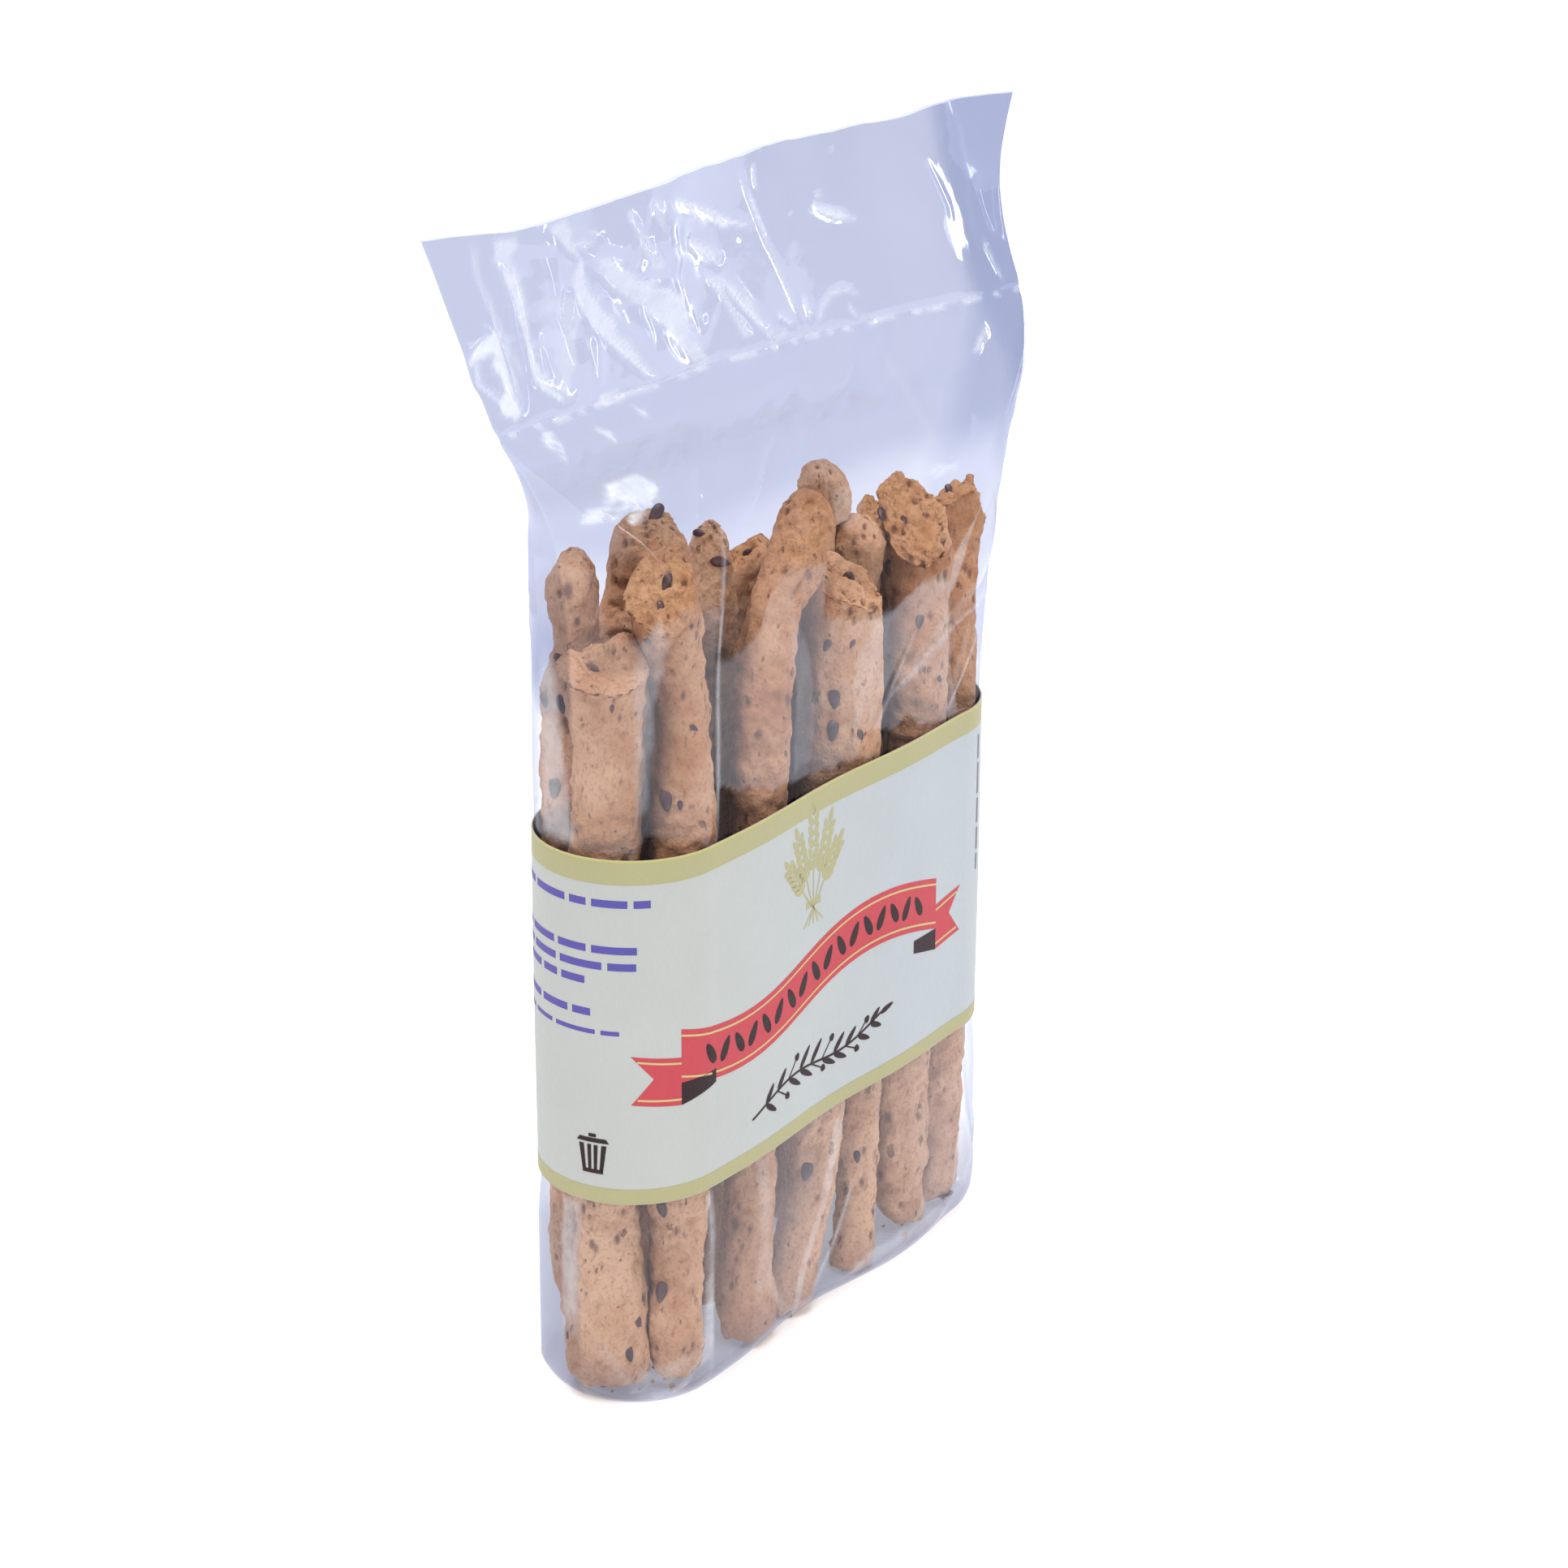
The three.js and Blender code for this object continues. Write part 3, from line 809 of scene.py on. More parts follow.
def film_relief(across, level, front, place, noise):
    """How far the film stands out, how far its skirt is set back, and its folds' painted
    highlights.
    """
    rng = np.random.default_rng(11)
    in_skirt = smoothstep(level, SEAL_HEIGHT + 0.5, SEAL_HEIGHT + 3)
    in_shoulder = hump(level, (140, 175), (SEAL_HEIGHT - 4, SEAL_HEIGHT - 1))
    below_seal = level < SEAL_HEIGHT
    bare = np.maximum(1 - smoothstep(level, SLEEVE_BOTTOM - 5, SLEEVE_BOTTOM - 1),
                      smoothstep(level, SLEEVE_TOP + 1, SLEEVE_TOP + 8))

    # The skirt's two layers are creased together, and each puffs out a little by itself
    small = random_ridges(rng, *SKIRT_SMALL)
    small = [fold for fold in small if fold[3] < 10] + small[:6]
    set_back, skirt_crest = fold_sum(across, level, SKIRT_RIDGES + small)
    set_back += SKIRT_RIPPLE * noise.layers(place * (1, 0.5, 0), 17)
    puff = SKIRT_PUFF * np.abs(noise.layers(place + 40, 13))

    # Below the seal each side has folds of its own
    front_folds = SHOULDER_RIDGES + random_ridges(rng, *FRONT_SMALL)
    own_front, front_crest = fold_sum(across, level, front_folds)
    own_back, _ = fold_sum(across, level, random_ridges(rng, *BACK_SMALL))
    low, low_crest = fold_sum(across, level, BASE_RIDGES)
    own = np.where(front, own_front, own_back)
    own += SHOULDER_RIPPLE * noise.layers(place * (1, 0.4, 1), 22)
    own *= np.maximum(in_shoulder, BARE_FOLDS * bare)
    low *= BARE_FOLDS * bare * (level < SLEEVE_BOTTOM)
    body = BODY_RIPPLE * noise.layers(place * (1, 0.25, 1) + 20, 12)

    crimp = bell(level - SEAL_HEIGHT, 1.0)
    ribs = CRIMP_RIB * np.sin(across * 2 * np.pi / CRIMP_RIB_PITCH)
    ribs += CRIMP_WAVER * noise.at(place * (1, 0, 0), 3)
    offset = crimp * (ribs - CRIMP_DEPTH) + bare * body * (1 - in_skirt) + puff * in_skirt
    offset += (own + low) * below_seal
    under_sleeve = (level > SLEEVE_BOTTOM - 2) & (level < SLEEVE_TOP + 2)
    offset = np.where(under_sleeve, np.minimum(offset, MOST_UNDER_SLEEVE), offset)
    crest = np.maximum(skirt_crest * in_skirt, np.maximum(front_crest, low_crest) * below_seal)
    return offset, set_back * in_skirt, crest


def film_painted_highlights(turn, across, level, front, place, noise, crest):
    """The film's painted highlights: on the folds' crests, the glares, the sheen stripes and the
    crimp's glints.
    """
    wander = 0.45 * noise.at(place + 60, 2.4)
    glare_unevenness = 0.8 + 0.3 * noise.at(place * (1, 0.4, 1) + 70, 4.5)
    for white, *places in GLARES:
        inside = glare(across + wander, level + wander, pairs(places))
        crest = np.maximum(crest, white * glare_unevenness * inside)
    crest = np.where(front, crest, 0)
    # Painted sheen stripes on the film's left end
    for rise, fall, drift, level_rise, level_fall in SHEEN_STRIPES:
        moved = turn - drift * (SHEEN_STRIPE_LEVEL - level)
        sheen_stripe = smoothstep(turn, *rise) * (1 - smoothstep(moved, *fall))
        crest = np.maximum(crest, SHEEN_STRIPE_WHITE * sheen_stripe * hump(level, level_rise, level_fall))
    # Painted glints along the seal's crimp
    glint_ticks = bell(level - SEAL_HEIGHT, 0.5) * smoothstep(noise.at(place * (1, 0, 0), 2.2), 0, 0.4)
    return crest + GLINT_TICK_WHITE * glint_ticks


def film_tint(across, level, front, place, noise):
    """How lavender the film is: more where loose or gathered, at its right end, and as painted
    shade low at the back.
    """
    in_skirt = smoothstep(level, SEAL_HEIGHT + 0.5, SEAL_HEIGHT + 3)
    back = BACK_TINT[0] - BACK_TINT[1] * smoothstep(level, 146, 162)
    tint = np.where(front, FRONT_TINT * smoothstep(level, 166, 178),
                    back * smoothstep(level, 136, 144))
    tint = tint + SKIRT_EDGE_TINT * smoothstep(across, 65.5, 67.5) * in_skirt
    right_end = smoothstep(across, 46, 54) * smoothstep(level, 117, 124)
    right_end *= lerp(*RIGHT_END_TINT, smoothstep(across, 54, 66))
    pleats = PLEAT_TINT[0] + PLEAT_TINT[1] * noise.at(place * (0.5, 1.2, 1) + 80, 6)
    pleats *= 1 - smoothstep(level, 3, 16)
    # Painted shade low on the back film, seen through the gaps between the sticks
    back_low_shade = np.where(front, 0, BACK_LOW_SHADE_TINT * (1 - smoothstep(level, 36, 46)))
    return np.maximum.reduce((tint, right_end, pleats, back_low_shade))


def film_haze(across, level, front, noise):
    """The mirror's share: whole between two lines over the breadsticks and where it is loose."""
    wander = 0.5 * noise.at(np.stack((across, level, across * 0), -1), 4)
    bottom = np.interp(across, HAZE_FROM[::2], HAZE_FROM[1::2]) + wander
    top = np.interp(across, HAZE_UP_TO[::2], HAZE_UP_TO[1::2]) + wander
    above = hump(level, (bottom - 0.3, bottom + 0.3), (top - 0.5, top + 0.5))
    below = 1 - smoothstep(level, SLEEVE_BOTTOM - 1, SLEEVE_BOTTOM + 1)
    haze = np.maximum.reduce((above, below, smoothstep(level, 172, 180)))
    return haze * np.where(front, 1, BACK_HAZE)


def film_levels():
    """Heights of the film's rows: close where it shows, and far apart under the sleeve."""
    top = SEAL_HEIGHT + SKIRT_HEIGHT
    base = BASE_RADIUS * (1 - np.cos(np.linspace(0, math.pi / 2, 10)))[:-1]
    low = np.arange(BASE_RADIUS, SLEEVE_BOTTOM + 1, FILM_LOW_STEP)
    hidden = np.arange(SLEEVE_BOTTOM + 2, SLEEVE_TOP - 2, FILM_HIDDEN_STEP)
    high = np.arange(SLEEVE_TOP - 1, SEAL_HEIGHT - 1.6, FILM_LEVEL_STEP)
    seal = np.arange(SEAL_HEIGHT - 1.2, SEAL_HEIGHT + 1.4, FILM_SEAL_STEP)
    skirt = np.arange(SEAL_HEIGHT + 2, top, FILM_LEVEL_STEP)
    return np.concatenate((base, low, hidden, high, seal, skirt, [top]))


def build_film(material):
    noise = Noise(3)
    turns = turns_round(FILM_FRONT_STEPS, FILM_END_STEPS, FILM_BACK_STEPS)
    turn, level = np.meshgrid(turns, film_levels())
    across, front = flat_place(turn, level)
    place = np.stack((across, level, np.where(front, 0.0, 90.0)), -1)
    offset, set_back, crest = film_relief(across, level, front, place, noise)
    points, _ = shell(turn, level, offset)
    points[..., 1] += set_back
    rim = np.clip((level - (SEAL_HEIGHT + SKIRT_HEIGHT - 6)) / 6, 0, 1)
    points[..., 2] += RIM_RIPPLE * rim * noise.layers(place * (1, 0, 0) + 5, 8)
    rows, columns = level.shape
    faces = grid_faces(rows, columns).tolist() + [list(range(columns))[::-1]]
    piece = make_object("film_bag", points.reshape(-1, 3), faces, material, "film", {
        "haze": film_haze(across, level, front, noise),
        "tint": film_tint(across, level, front, place, noise),
        "crest": film_painted_highlights(turn, across, level, front, place, noise, crest),
    })
    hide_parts("bag")
    return piece


# ---------------------------------------------------------------- the breadsticks

# Each breadstick: its depth as a share of its width, the profiles of its two ends, how toasted its
# top is, how golden its crumb is, how pale its crust is, and rows of (x, y, height, half width) up
# its middle. Then the faces where it broke: each the direction that it climbs in degrees, its
# slope, its height at the middle, how round its rim is, how ragged it is, and lumps as (direction,
# distance out, radius, height). Last the torn patches on its side: (direction, height, half
# breadth, half height, depth, how much is crumb)
Stick = namedtuple("Stick", "depth foot head toasted golden pale rows faces patches")
STICKS = {
    "left_end": Stick(
        0.93, "blunt", "round", 0.1, 0.2, 0.3,
        [(-53.2, -0.5, 1.8, 7.6), (-54.2, -0.5, 8, 7.9), (-54.5, -0.5, 14.6, 8),
         (-53.9, -0.5, 21, 7.7), (-53.8, -0.5, 26.7, 6.9), (-54.1, -0.5, 34, 6.1),
         (-54.6, -0.5, 41.5, 5.9), (-54.2, -0.5, 70, 6.5), (-53.2, -0.5, 110, 6.5),
         (-51.8, -0.5, 126, 6.6), (-51.4, -0.5, 134, 6.8), (-52.2, -0.5, 141, 7.6),
         (-52.9, -0.5, 158, 7.9)],
        [(40, 0.24, 148, 0.5, 0.45, (-5, 6.4, 3.8, 4.8), (120, 6, 2.5, 1.5),
          (215, 2.5, 2.6, -1.2))],
        []),
    "front_1": Stick(
        0.95, "blunt", "round", 0.5, 0.65, 0.08,
        [(-44.2, -9.6, 2, 5.2), (-44.9, -9.6, 8, 5.5), (-45.3, -9.6, 15, 5.5),
         (-44.7, -9.6, 21, 5.1), (-44, -9.6, 28, 5.2), (-43.5, -9.7, 34, 5.5), (-43.6, -9.7, 41, 6),
         (-43, -9.8, 75, 6.3), (-41.5, -9.8, 114, 6.25), (-40.7, -9.4, 121, 6),
         (-40.4, -9, 128, 5.7), (-39.7, -8.3, 138, 5.3), (-40.3, -7.8, 145, 5.3),
         (-42.2, -7.3, 151.8, 6.1), (-43.2, -7, 157.5, 6.7), (-43.3, -6.7, 162, 6.3),
         (-42, -6.5, 165, 5.6), (-40.6, -6.2, 170, 5)],
        [(35, 1.1, 162.5, 0.9, 0.5, (-60, 5.5, 2.6, 2.2))],
        [(-152, 156.5, 5.6, 8, 0.9, 0.8), (-150, 152, 1.4, 1.8, 0.9, 0),
         (-175, 149, 3, 3, 1, 0.8)]),
    "front_2": Stick(
        0.95, "broken", "round", 0.8, 0.6, 0,
        [(-22.6, -11.8, 1.2, 5.2), (-22.2, -11, 8, 5.6), (-21.3, -10.3, 20, 5),
         (-20.5, -10.3, 36, 4.9), (-19.3, -10.4, 70, 5.3), (-17.8, -10.4, 110, 5.4),
         (-16.9, -10.2, 122, 5.8), (-16.1, -10, 131, 6), (-14.6, -9.6, 139.5, 5.8),
         (-12.3, -9.2, 145.5, 5.1), (-9.8, -8.8, 149.5, 5), (-6.5, -8.5, 152.3, 5.6),
         (-3.2, -8.2, 155, 5.9), (-1.2, -8, 158, 5.7), (0.2, -7.9, 161, 5.5), (1.3, -7.7, 164, 5.3),
         (2.3, -7.4, 170, 4.6)],
        [],
        [(-105, 158, 5.5, 11, 0.9, 0.8), (-118, 128, 2.6, 16, 0.5, 0.25),
         (-128, 154, 1.1, 1.6, 1, 0.2)]),
    "front_3": Stick(
        0.9, "blunt", "round", 0.2, 0.3, 0.45,
        [(-9.4, -11.6, 1.2, 5), (-6.2, -10.7, 7, 5.2), (-3.6, -10.2, 13, 5), (-1.4, -10.2, 18, 5),
         (1.2, -10.2, 27, 5.4), (3, -10.3, 50, 6.5), (4.8, -10.3, 70, 7.2), (8.2, -10.1, 95, 7.8),
         (9.8, -10, 112, 8.1), (10.7, -9.9, 126, 8.1), (10.9, -9.8, 133, 8), (11.6, -9.7, 141, 7.7),
         (11.6, -9.6, 158, 7.6)],
        [(100, 0.6, 149.6, 0.5, 1.1, (135, 5, 3, 1.6), (-30, 4.5, 3, -1.5))],
        []),
    "middle": Stick(
        0.97, "broken", "round", 0.15, 0.5, 0.3,
        [(13.6, -12, 1.4, 4.3), (15.1, -11.4, 5, 4.3), (17.3, -10.6, 12, 4.2), (19, -9, 40, 5.5),
         (22, -6, 80, 6), (27, -2.5, 120, 5.6), (28.2, -1.8, 138, 4.9), (28.5, -1.5, 143, 5),
         (29.1, -1.1, 149.5, 5.6), (29, -1, 157, 5.6)],
        [],
        [(-165, 149, 3, 4, 0.4, 0.5)]),
    "front_4": Stick(
        0.92, "broken", "round", 0.55, 0.5, 0.08,
        [(36.5, -11, 1.5, 3.6), (35.4, -10.8, 4, 4.8), (34.2, -10.4, 7, 5.4), (33.6, -10, 11, 5.8),
         (33.7, -10, 18, 6.3), (34, -9.9, 40, 6.3), (36, -9.8, 80, 6.4), (37.7, -9.7, 118, 6.4),
         (38.2, -9.3, 131, 6.5), (39.5, -8.8, 143, 6.3), (39.8, -8.6, 149, 6.5),
         (38.5, -8.5, 154, 6.5), (37.6, -8.4, 158, 6.3), (36.8, -8.2, 168, 6)],
        [(48, 1.3, 155.2, 0.8, 0.8, (125, 2.6, 1.7, -1.6), (-95, 4.6, 2.2, 1.4),
          (170, 5, 2.4, 1.4))],
        [(-150, 150, 4, 4, 0.7, 0.6), (-102, 148, 3.4, 4.2, -1.2, 0),
         (-128, 153, 1.2, 1.4, 0.8, 0)]),
    "front_5": Stick(
        0.95, "blunt", "round", 0.45, 0.4, 0,
        [(48.8, -9.6, 2, 4.8), (48.9, -9.3, 8, 5.2), (49, -9.2, 20, 5.6), (50, -9, 60, 6),
         (52, -9.1, 113, 6), (52.6, -8.5, 126, 5.9), (53.2, -7.8, 138, 5.8), (54.6, -7.3, 145, 5.8),
         (56, -7, 151, 6), (57, -6.7, 168, 5.8)],
        [(-55, 0.45, 155.8, 0.5, 0.9), (125, 2.4, 164.8, 0.5, 0.9)],
        [(-140, 150, 4, 6, 0.6, 0.6)]),
    "back_1": Stick(
        0.95, "round", "round", 0.1, 0.5, 0.25,
        [(-43, 10.6, 3, 4.5), (-44.6, 11.1, 10, 5.1), (-45.8, 11.5, 17, 5.4),
         (-46.7, 11.7, 26, 5.6), (-46.8, 11.7, 60, 5.6), (-46.8, 11.7, 136, 5.6),
         (-46.3, 11.7, 141.5, 5.4), (-44.6, 11.7, 146, 4.6), (-44.7, 11.7, 150, 4.5),
         (-45.6, 11.8, 155, 4.6), (-45.8, 11.8, 160, 4.6), (-45, 11.8, 167, 4.3)],
        [],
        [(-60, 156, 3, 10, 0.7, 0.7)]),
    "back_2": Stick(
        0.9, "round", "round", 0.1, 0.7, 0.1,
        [(-28.5, 9.2, 3, 6.4), (-29, 9.4, 20, 6.8), (-29, 9.4, 100, 7.2), (-29.8, 8.9, 130, 8.4),
         (-30.1, 8.4, 146.5, 9.4), (-29.6, 7.6, 150, 8.7), (-29, 6.7, 154, 7.9),
         (-28.8, 6.5, 158, 7.7), (-29.2, 6.1, 163, 7.2), (-29.5, 5.8, 168, 5.9),
         (-28.6, 5.5, 173.5, 4.6)],
        [(55, 0.55, 168, 0.9, 0.7, (-35, 5, 2.4, -1.6))],
        [(-140, 156, 6.5, 7.5, 3.4, 1), (-152, 145, 5.5, 6.5, 1.8, 0.9),
         (-120, 163, 4, 2.2, -0.6, 0)]),
    "back_3": Stick(
        0.95, "blunt", "round", 0.1, 0.5, 0.8,
        [(-15.5, 3.2, 1.6, 6.2), (-14.8, 4.2, 12, 6.4), (-10.8, 9.2, 55, 6.6), (-10, 8.8, 130, 6.4),
         (-9.6, 7.6, 144, 6.3), (-9, 7.2, 149.5, 5.7), (-8.8, 6.9, 153.5, 4.6),
         (-9.2, 6.7, 158, 3.9), (-10, 6.4, 164.5, 3.8)],
        [],
        [(-80, 148, 3.5, 8, 1, 1)]),
    "back_4": Stick(
        0.95, "blunt", "round", 0.9, 0.8, 0.25,
        [(6, 9.8, 3, 6), (6.5, 9.4, 100, 6.1), (6.8, 9.3, 140, 6), (7, 9.3, 150, 5.8),
         (7.2, 9.3, 157, 5.4)],
        [(-40, 0.8, 154.6, 1.2, 0.6)],
        [(-115, 146, 3, 9, 1.5, 0.9)]),
    "back_5": Stick(
        0.95, "round", "round", 0.3, 0.5, 0.5,
        [(19.5, 9.6, 3, 6.6), (19.5, 9.3, 110, 6.7), (20.6, 7.8, 138, 6.3), (23, 6.2, 151, 5.9),
         (25.6, 4, 159, 5.1), (24.4, 3.3, 162, 4.8), (22.8, 2.9, 164.5, 4.9),
         (21.6, 2.5, 169, 4.7)],
        [],
        [(-170, 163, 4, 2.4, 0.3, 0.4)]),
    "back_6": Stick(
        0.95, "blunt", "round", 0.5, 0.6, 0.2,
        [(35, 9.6, 3, 6.8), (35.5, 9.2, 100, 6.9), (36, 8.8, 149, 6.6)],
        [(200, 0.5, 145, 0.4, 1.6)],
        []),
    "back_7": Stick(
        0.95, "round", "round", 0.6, 0.7, 0.2,
        [(49, 7.6, 3, 6.2), (50, 7, 60, 6.5), (51, 6.6, 120, 6.4), (52, 6.3, 145, 6),
         (52, 6.2, 156, 5.8)],
        [(90, 0.35, 150.6, 0.4, 1.4)],
        [(-165, 147, 4, 6, 1.2, 1)]),
}

WIDTH_DIRECTION = -55
STICK_COLUMNS = 88
STICK_ROW = 0.62
STICK_HIDDEN_ROW = 3.2
FOOT_ROW = 0.6
HEAD_ROW = 0.45
END_RADIUS = 7  # at which the ends' rows are spaced
STICK_GAP = 0.12
FILM_GAP = 0.7
FLOOR_GAP = 0.8
ROUNDING = 0.86  # of a stick's section: 1 is an ellipse, and less is squarer
SWELLS = [(0.05, 9), (0.045, 4)]  # shares of the radius, and their sizes
FURROW_DEPTH = 0.9
FURROW_WIDTH = 0.16
RAGS = [(1.5, 4.2), (0.8, 1.8), (0.5, 1.0)]  # heights of a break's rags, and their sizes
COARSE_RELIEF = 0.8
FINE_RELIEF = 0.5
PITS = 60
PIT_DEPTH = 0.55
LOW_PALENESS = 0.32

# The way in from the side to the middle of an end: share of the side's radius, and rise in mm
QUARTER = np.linspace(0, math.pi / 2, 12)
END_PROFILES = {
    "round": [(math.cos(t), 6.5 * math.sin(t)) for t in QUARTER],
    "blunt": [(math.cos(t) ** 0.6, 4.0 * math.sin(t)) for t in QUARTER],
    "broken": [(1, 0), (0.97, 0.7), (0.9, 1.0), (0, 1.0)],
}
ROUGH_FEET = {"round": 0.1, "blunt": 0.5, "broken": 1.0}


def resample(profile, step):
    """Points along a line of (share, rise) pairs, at about one step on a stick."""
    profile = np.array(profile, float)
    lengths = np.hypot(np.diff(profile[:, 0]) * END_RADIUS, np.diff(profile[:, 1]))
    distance = np.concatenate(([0], np.cumsum(lengths)))
    at = np.linspace(0, distance[-1], max(3, round(distance[-1] / step)) + 1)
    return np.stack([np.interp(at, distance, profile[:, i]) for i in (0, 1)], -1)


def stick_lines(name):
    """The middle (x, y) and the half width of a stick at any height."""
    rows = STICKS[name].rows
    return [through([(row[2], row[i]) for row in rows]) for i in (0, 1, 3)]


def side_rows(low, high):
    """Heights of the rows of a stick's side, far apart under the sleeve."""
    rows = [low]
    while rows[-1] < high:
        under = SLEEVE_BOTTOM + 3 < rows[-1] < SLEEVE_TOP - 6
        rows.append(rows[-1] + (STICK_HIDDEN_ROW if under else STICK_ROW))
    return np.array(rows[:-1])


def break_off(grid, faces, lines, noise, shift):
    """Cuts a stick's top down to its broken faces. Also gives how much of a point is crumb."""
    crumb = np.zeros(grid.shape[:-1])
    place = grid * (1, 1, 0) + shift
    jagged = sum(high * noise.at(place + 30 * i, size) for i, (high, size) in enumerate(RAGS))
    for climb, slope, middle, rim, rough, *lumps in faces:
        east = grid[..., 0] - float(lines[0](middle))
        north = grid[..., 1] - float(lines[1](middle))
        way = direction(climb)
        plane = middle + slope * (east * way[0] + north * way[1]) + rough * jagged
        for bearing, distance, radius, height in lumps:
            way = direction(bearing)
            away = np.hypot(east - distance * way[0], north - distance * way[1])
            plane += height * bell(away, radius)
        over = grid[..., 2] - plane
        crumb = np.maximum(crumb, smoothstep(over, -0.2, 0.8))
        grid[..., 2] = plane - rim * np.logaddexp(0, -over / rim)
    return crumb


def tear(grid, patches, lines, noise, shift):
    """How deep the torn patches of a stick's side are at each point, and how much is crumb."""
    depth, crumb = np.zeros(grid.shape[:-1]), np.zeros(grid.shape[:-1])
    east = grid[..., 0] - lines[0](grid[..., 2])
    north = grid[..., 1] - lines[1](grid[..., 2])
    edge = 0.35 * noise.at(grid + shift, 2.5) + 0.25 * noise.at(grid + shift, 1.2)
    for bearing, height, half_breadth, half_height, most, share in patches:
        way = direction(bearing)
        around = (north * way[0] - east * way[1]) / half_breadth
        up = (grid[..., 2] - height) / half_height
        within = 1 - smoothstep(np.hypot(around, up) + edge, 0.6, 1.0)
        within *= east * way[0] + north * way[1] > 0
        depth += most * within
        crumb = np.maximum(crumb, share * within)
    return depth, crumb


def stick_points(name, noise, rng):
    """The grid of one stick's points, and its pale, crumb, toast and pit numbers; toast holds
    painted shade.
    """
    stick = STICKS[name]
    bottom, top = stick.rows[0][2], stick.rows[-1][2]
    foot_rows = resample(END_PROFILES[stick.foot], FOOT_ROW)[::-1]
    head_rows = resample(END_PROFILES[stick.head], HEAD_ROW)
    low = bottom + END_PROFILES[stick.foot][-1][1]
    high = top - END_PROFILES[stick.head][-1][1]
    side = side_rows(low, high)[1:]
    heights = np.concatenate((low - foot_rows[:, 1], side, high + head_rows[:, 1]))
    shares = np.concatenate((foot_rows[:, 0], np.ones(len(side)), head_rows[:, 0]))
    at_foot = np.arange(len(heights)) < len(foot_rows)

    angle = np.arange(STICK_COLUMNS) * 2 * math.pi / STICK_COLUMNS
    height, theta = np.meshgrid(heights, angle, indexing="ij")
    share = np.broadcast_to(shares[:, None], height.shape)
    cos, sin = np.cos(theta), np.sin(theta)
    shift = rng.uniform(0, 400, 3)
    round_place = np.stack((cos * 7, sin * 7, height * 0.6), -1) + shift
    swell = 1 + sum(most * noise.at(round_place, size) for most, size in SWELLS)
    wide = np.sign(cos) * np.abs(cos) ** ROUNDING
    deep = stick.depth * np.sign(sin) * np.abs(sin) ** ROUNDING
    furrow_angle = rng.uniform(0, 2 * math.pi) + 0.5 * np.sin(height / 31 + rng.uniform(0, 6))
    aside = np.angle(np.exp(1j * (theta - furrow_angle)))
    furrow = FURROW_DEPTH * bell(aside, FURROW_WIDTH)
    furrow *= smoothstep(noise.at(round_place, 25), -0.2, 0.5)

    roll = math.radians(WIDTH_DIRECTION) + 0.25 * np.sin(height / 60 + rng.uniform(0, 6))
    lines = stick_lines(name)
    size = share * (lines[2](height) * swell - furrow)
    grid = np.stack((
        lines[0](height) + size * (wide * np.cos(roll) - deep * np.sin(roll)),
        lines[1](height) + size * (wide * np.sin(roll) + deep * np.cos(roll)),
        height,
    ), -1)

    # Broken ends of rough crumb, and the fine relief of the crust
    torn, torn_crumb = tear(grid, stick.patches, lines, noise, shift)
    crumb = np.maximum(break_off(grid, stick.faces, lines, noise, shift), torn_crumb)
    foot_crumb = ROUGH_FEET[stick.foot] * at_foot[:, None] * smoothstep(1 - share, 0.02, 0.12)
    normals = grid_normals(grid)
    flat = grid + shift
    coarse = noise.layers(flat, 5.0)
    fine = noise.layers(flat + 50, 1.6, 2)
    relief = COARSE_RELIEF * coarse + FINE_RELIEF * fine - torn
    relief += (crumb * (0.5 * coarse + 1.15 * np.abs(fine))
               + foot_crumb * (coarse + 0.5 * np.abs(fine)))
    grid = grid + normals * relief[..., None]
    grid[..., 2] += foot_crumb * (1.6 * noise.at(flat + 90, 3.2) + 0.9 * coarse)

    # Pits, as bubbles and lost seeds leave
    pit = np.zeros(height.shape)
    for _ in range(PITS):
        row = rng.integers(8, len(heights) - 4)
        column = rng.integers(0, STICK_COLUMNS)
        radius = rng.uniform(0.45, 1.0) * (1.5 if rng.uniform() < 0.15 else 1)
        away = np.linalg.norm((grid - grid[row, column]) * (1, 1, 0.6), axis=-1)
        pit = np.maximum(pit, bell(away, radius))
    grid = grid - normals * (PIT_DEPTH * pit)[..., None]

    tip = smoothstep(height, top - 34, top + 4)
    blotch = noise.layers(flat + 150, 13, 2)
    # Painted shade in the relief's low places, added to the toast with the tip's toasting and
    # blotches
    cavity_shade = smoothstep(-(0.6 * coarse + 0.5 * fine), 0.05, 0.55)
    toast = 0.06 + 0.4 * stick.toasted * tip + 0.35 * blotch + 0.55 * cavity_shade
    # Deep tears darken with painted shade; lumps that stand out are toasted
    toast += 0.22 * np.clip(torn, 0, 3) + 1.3 * np.clip(-torn, 0, 1)
    numbers = {
        "pale": stick.pale + LOW_PALENESS * (1 - smoothstep(height, 40, 70)),
        "crumb": stick.golden * np.maximum(crumb, foot_crumb) * (1 - 0.5 * cavity_shade),
        "toast": np.clip(toast, 0, 1),
        "pit": smoothstep(pit, 0.4, 0.9),
    }
    return grid, numbers


def part_sticks(grids):
    """Flattens each stick a little where it would cut into a neighbour."""
    lines = {name: stick_lines(name) for name in grids}
    for name, grid in grids.items():
        height = grid[..., 2]
        x, y, radius = (line(height) for line in lines[name])
        for other in grids:
            if other == name:
                continue
            rows = STICKS[other].rows
            beside = (height > rows[0][2] + 1) & (height < rows[-1][2] - 1)
            other_x, other_y, other_radius = (line(height) for line in lines[other])
            dx, dy = other_x - x, other_y - y
            distance = np.maximum(np.hypot(dx, dy), 1)
            limit = (distance**2 + radius**2 - other_radius**2) / (2 * distance) - STICK_GAP
            reach = ((grid[..., 0] - x) * dx + (grid[..., 1] - y) * dy) / distance
            excess = np.where(beside, np.maximum(reach - limit, 0), 0)
            grid[..., 0] -= excess * dx / distance
            grid[..., 1] -= excess * dy / distance


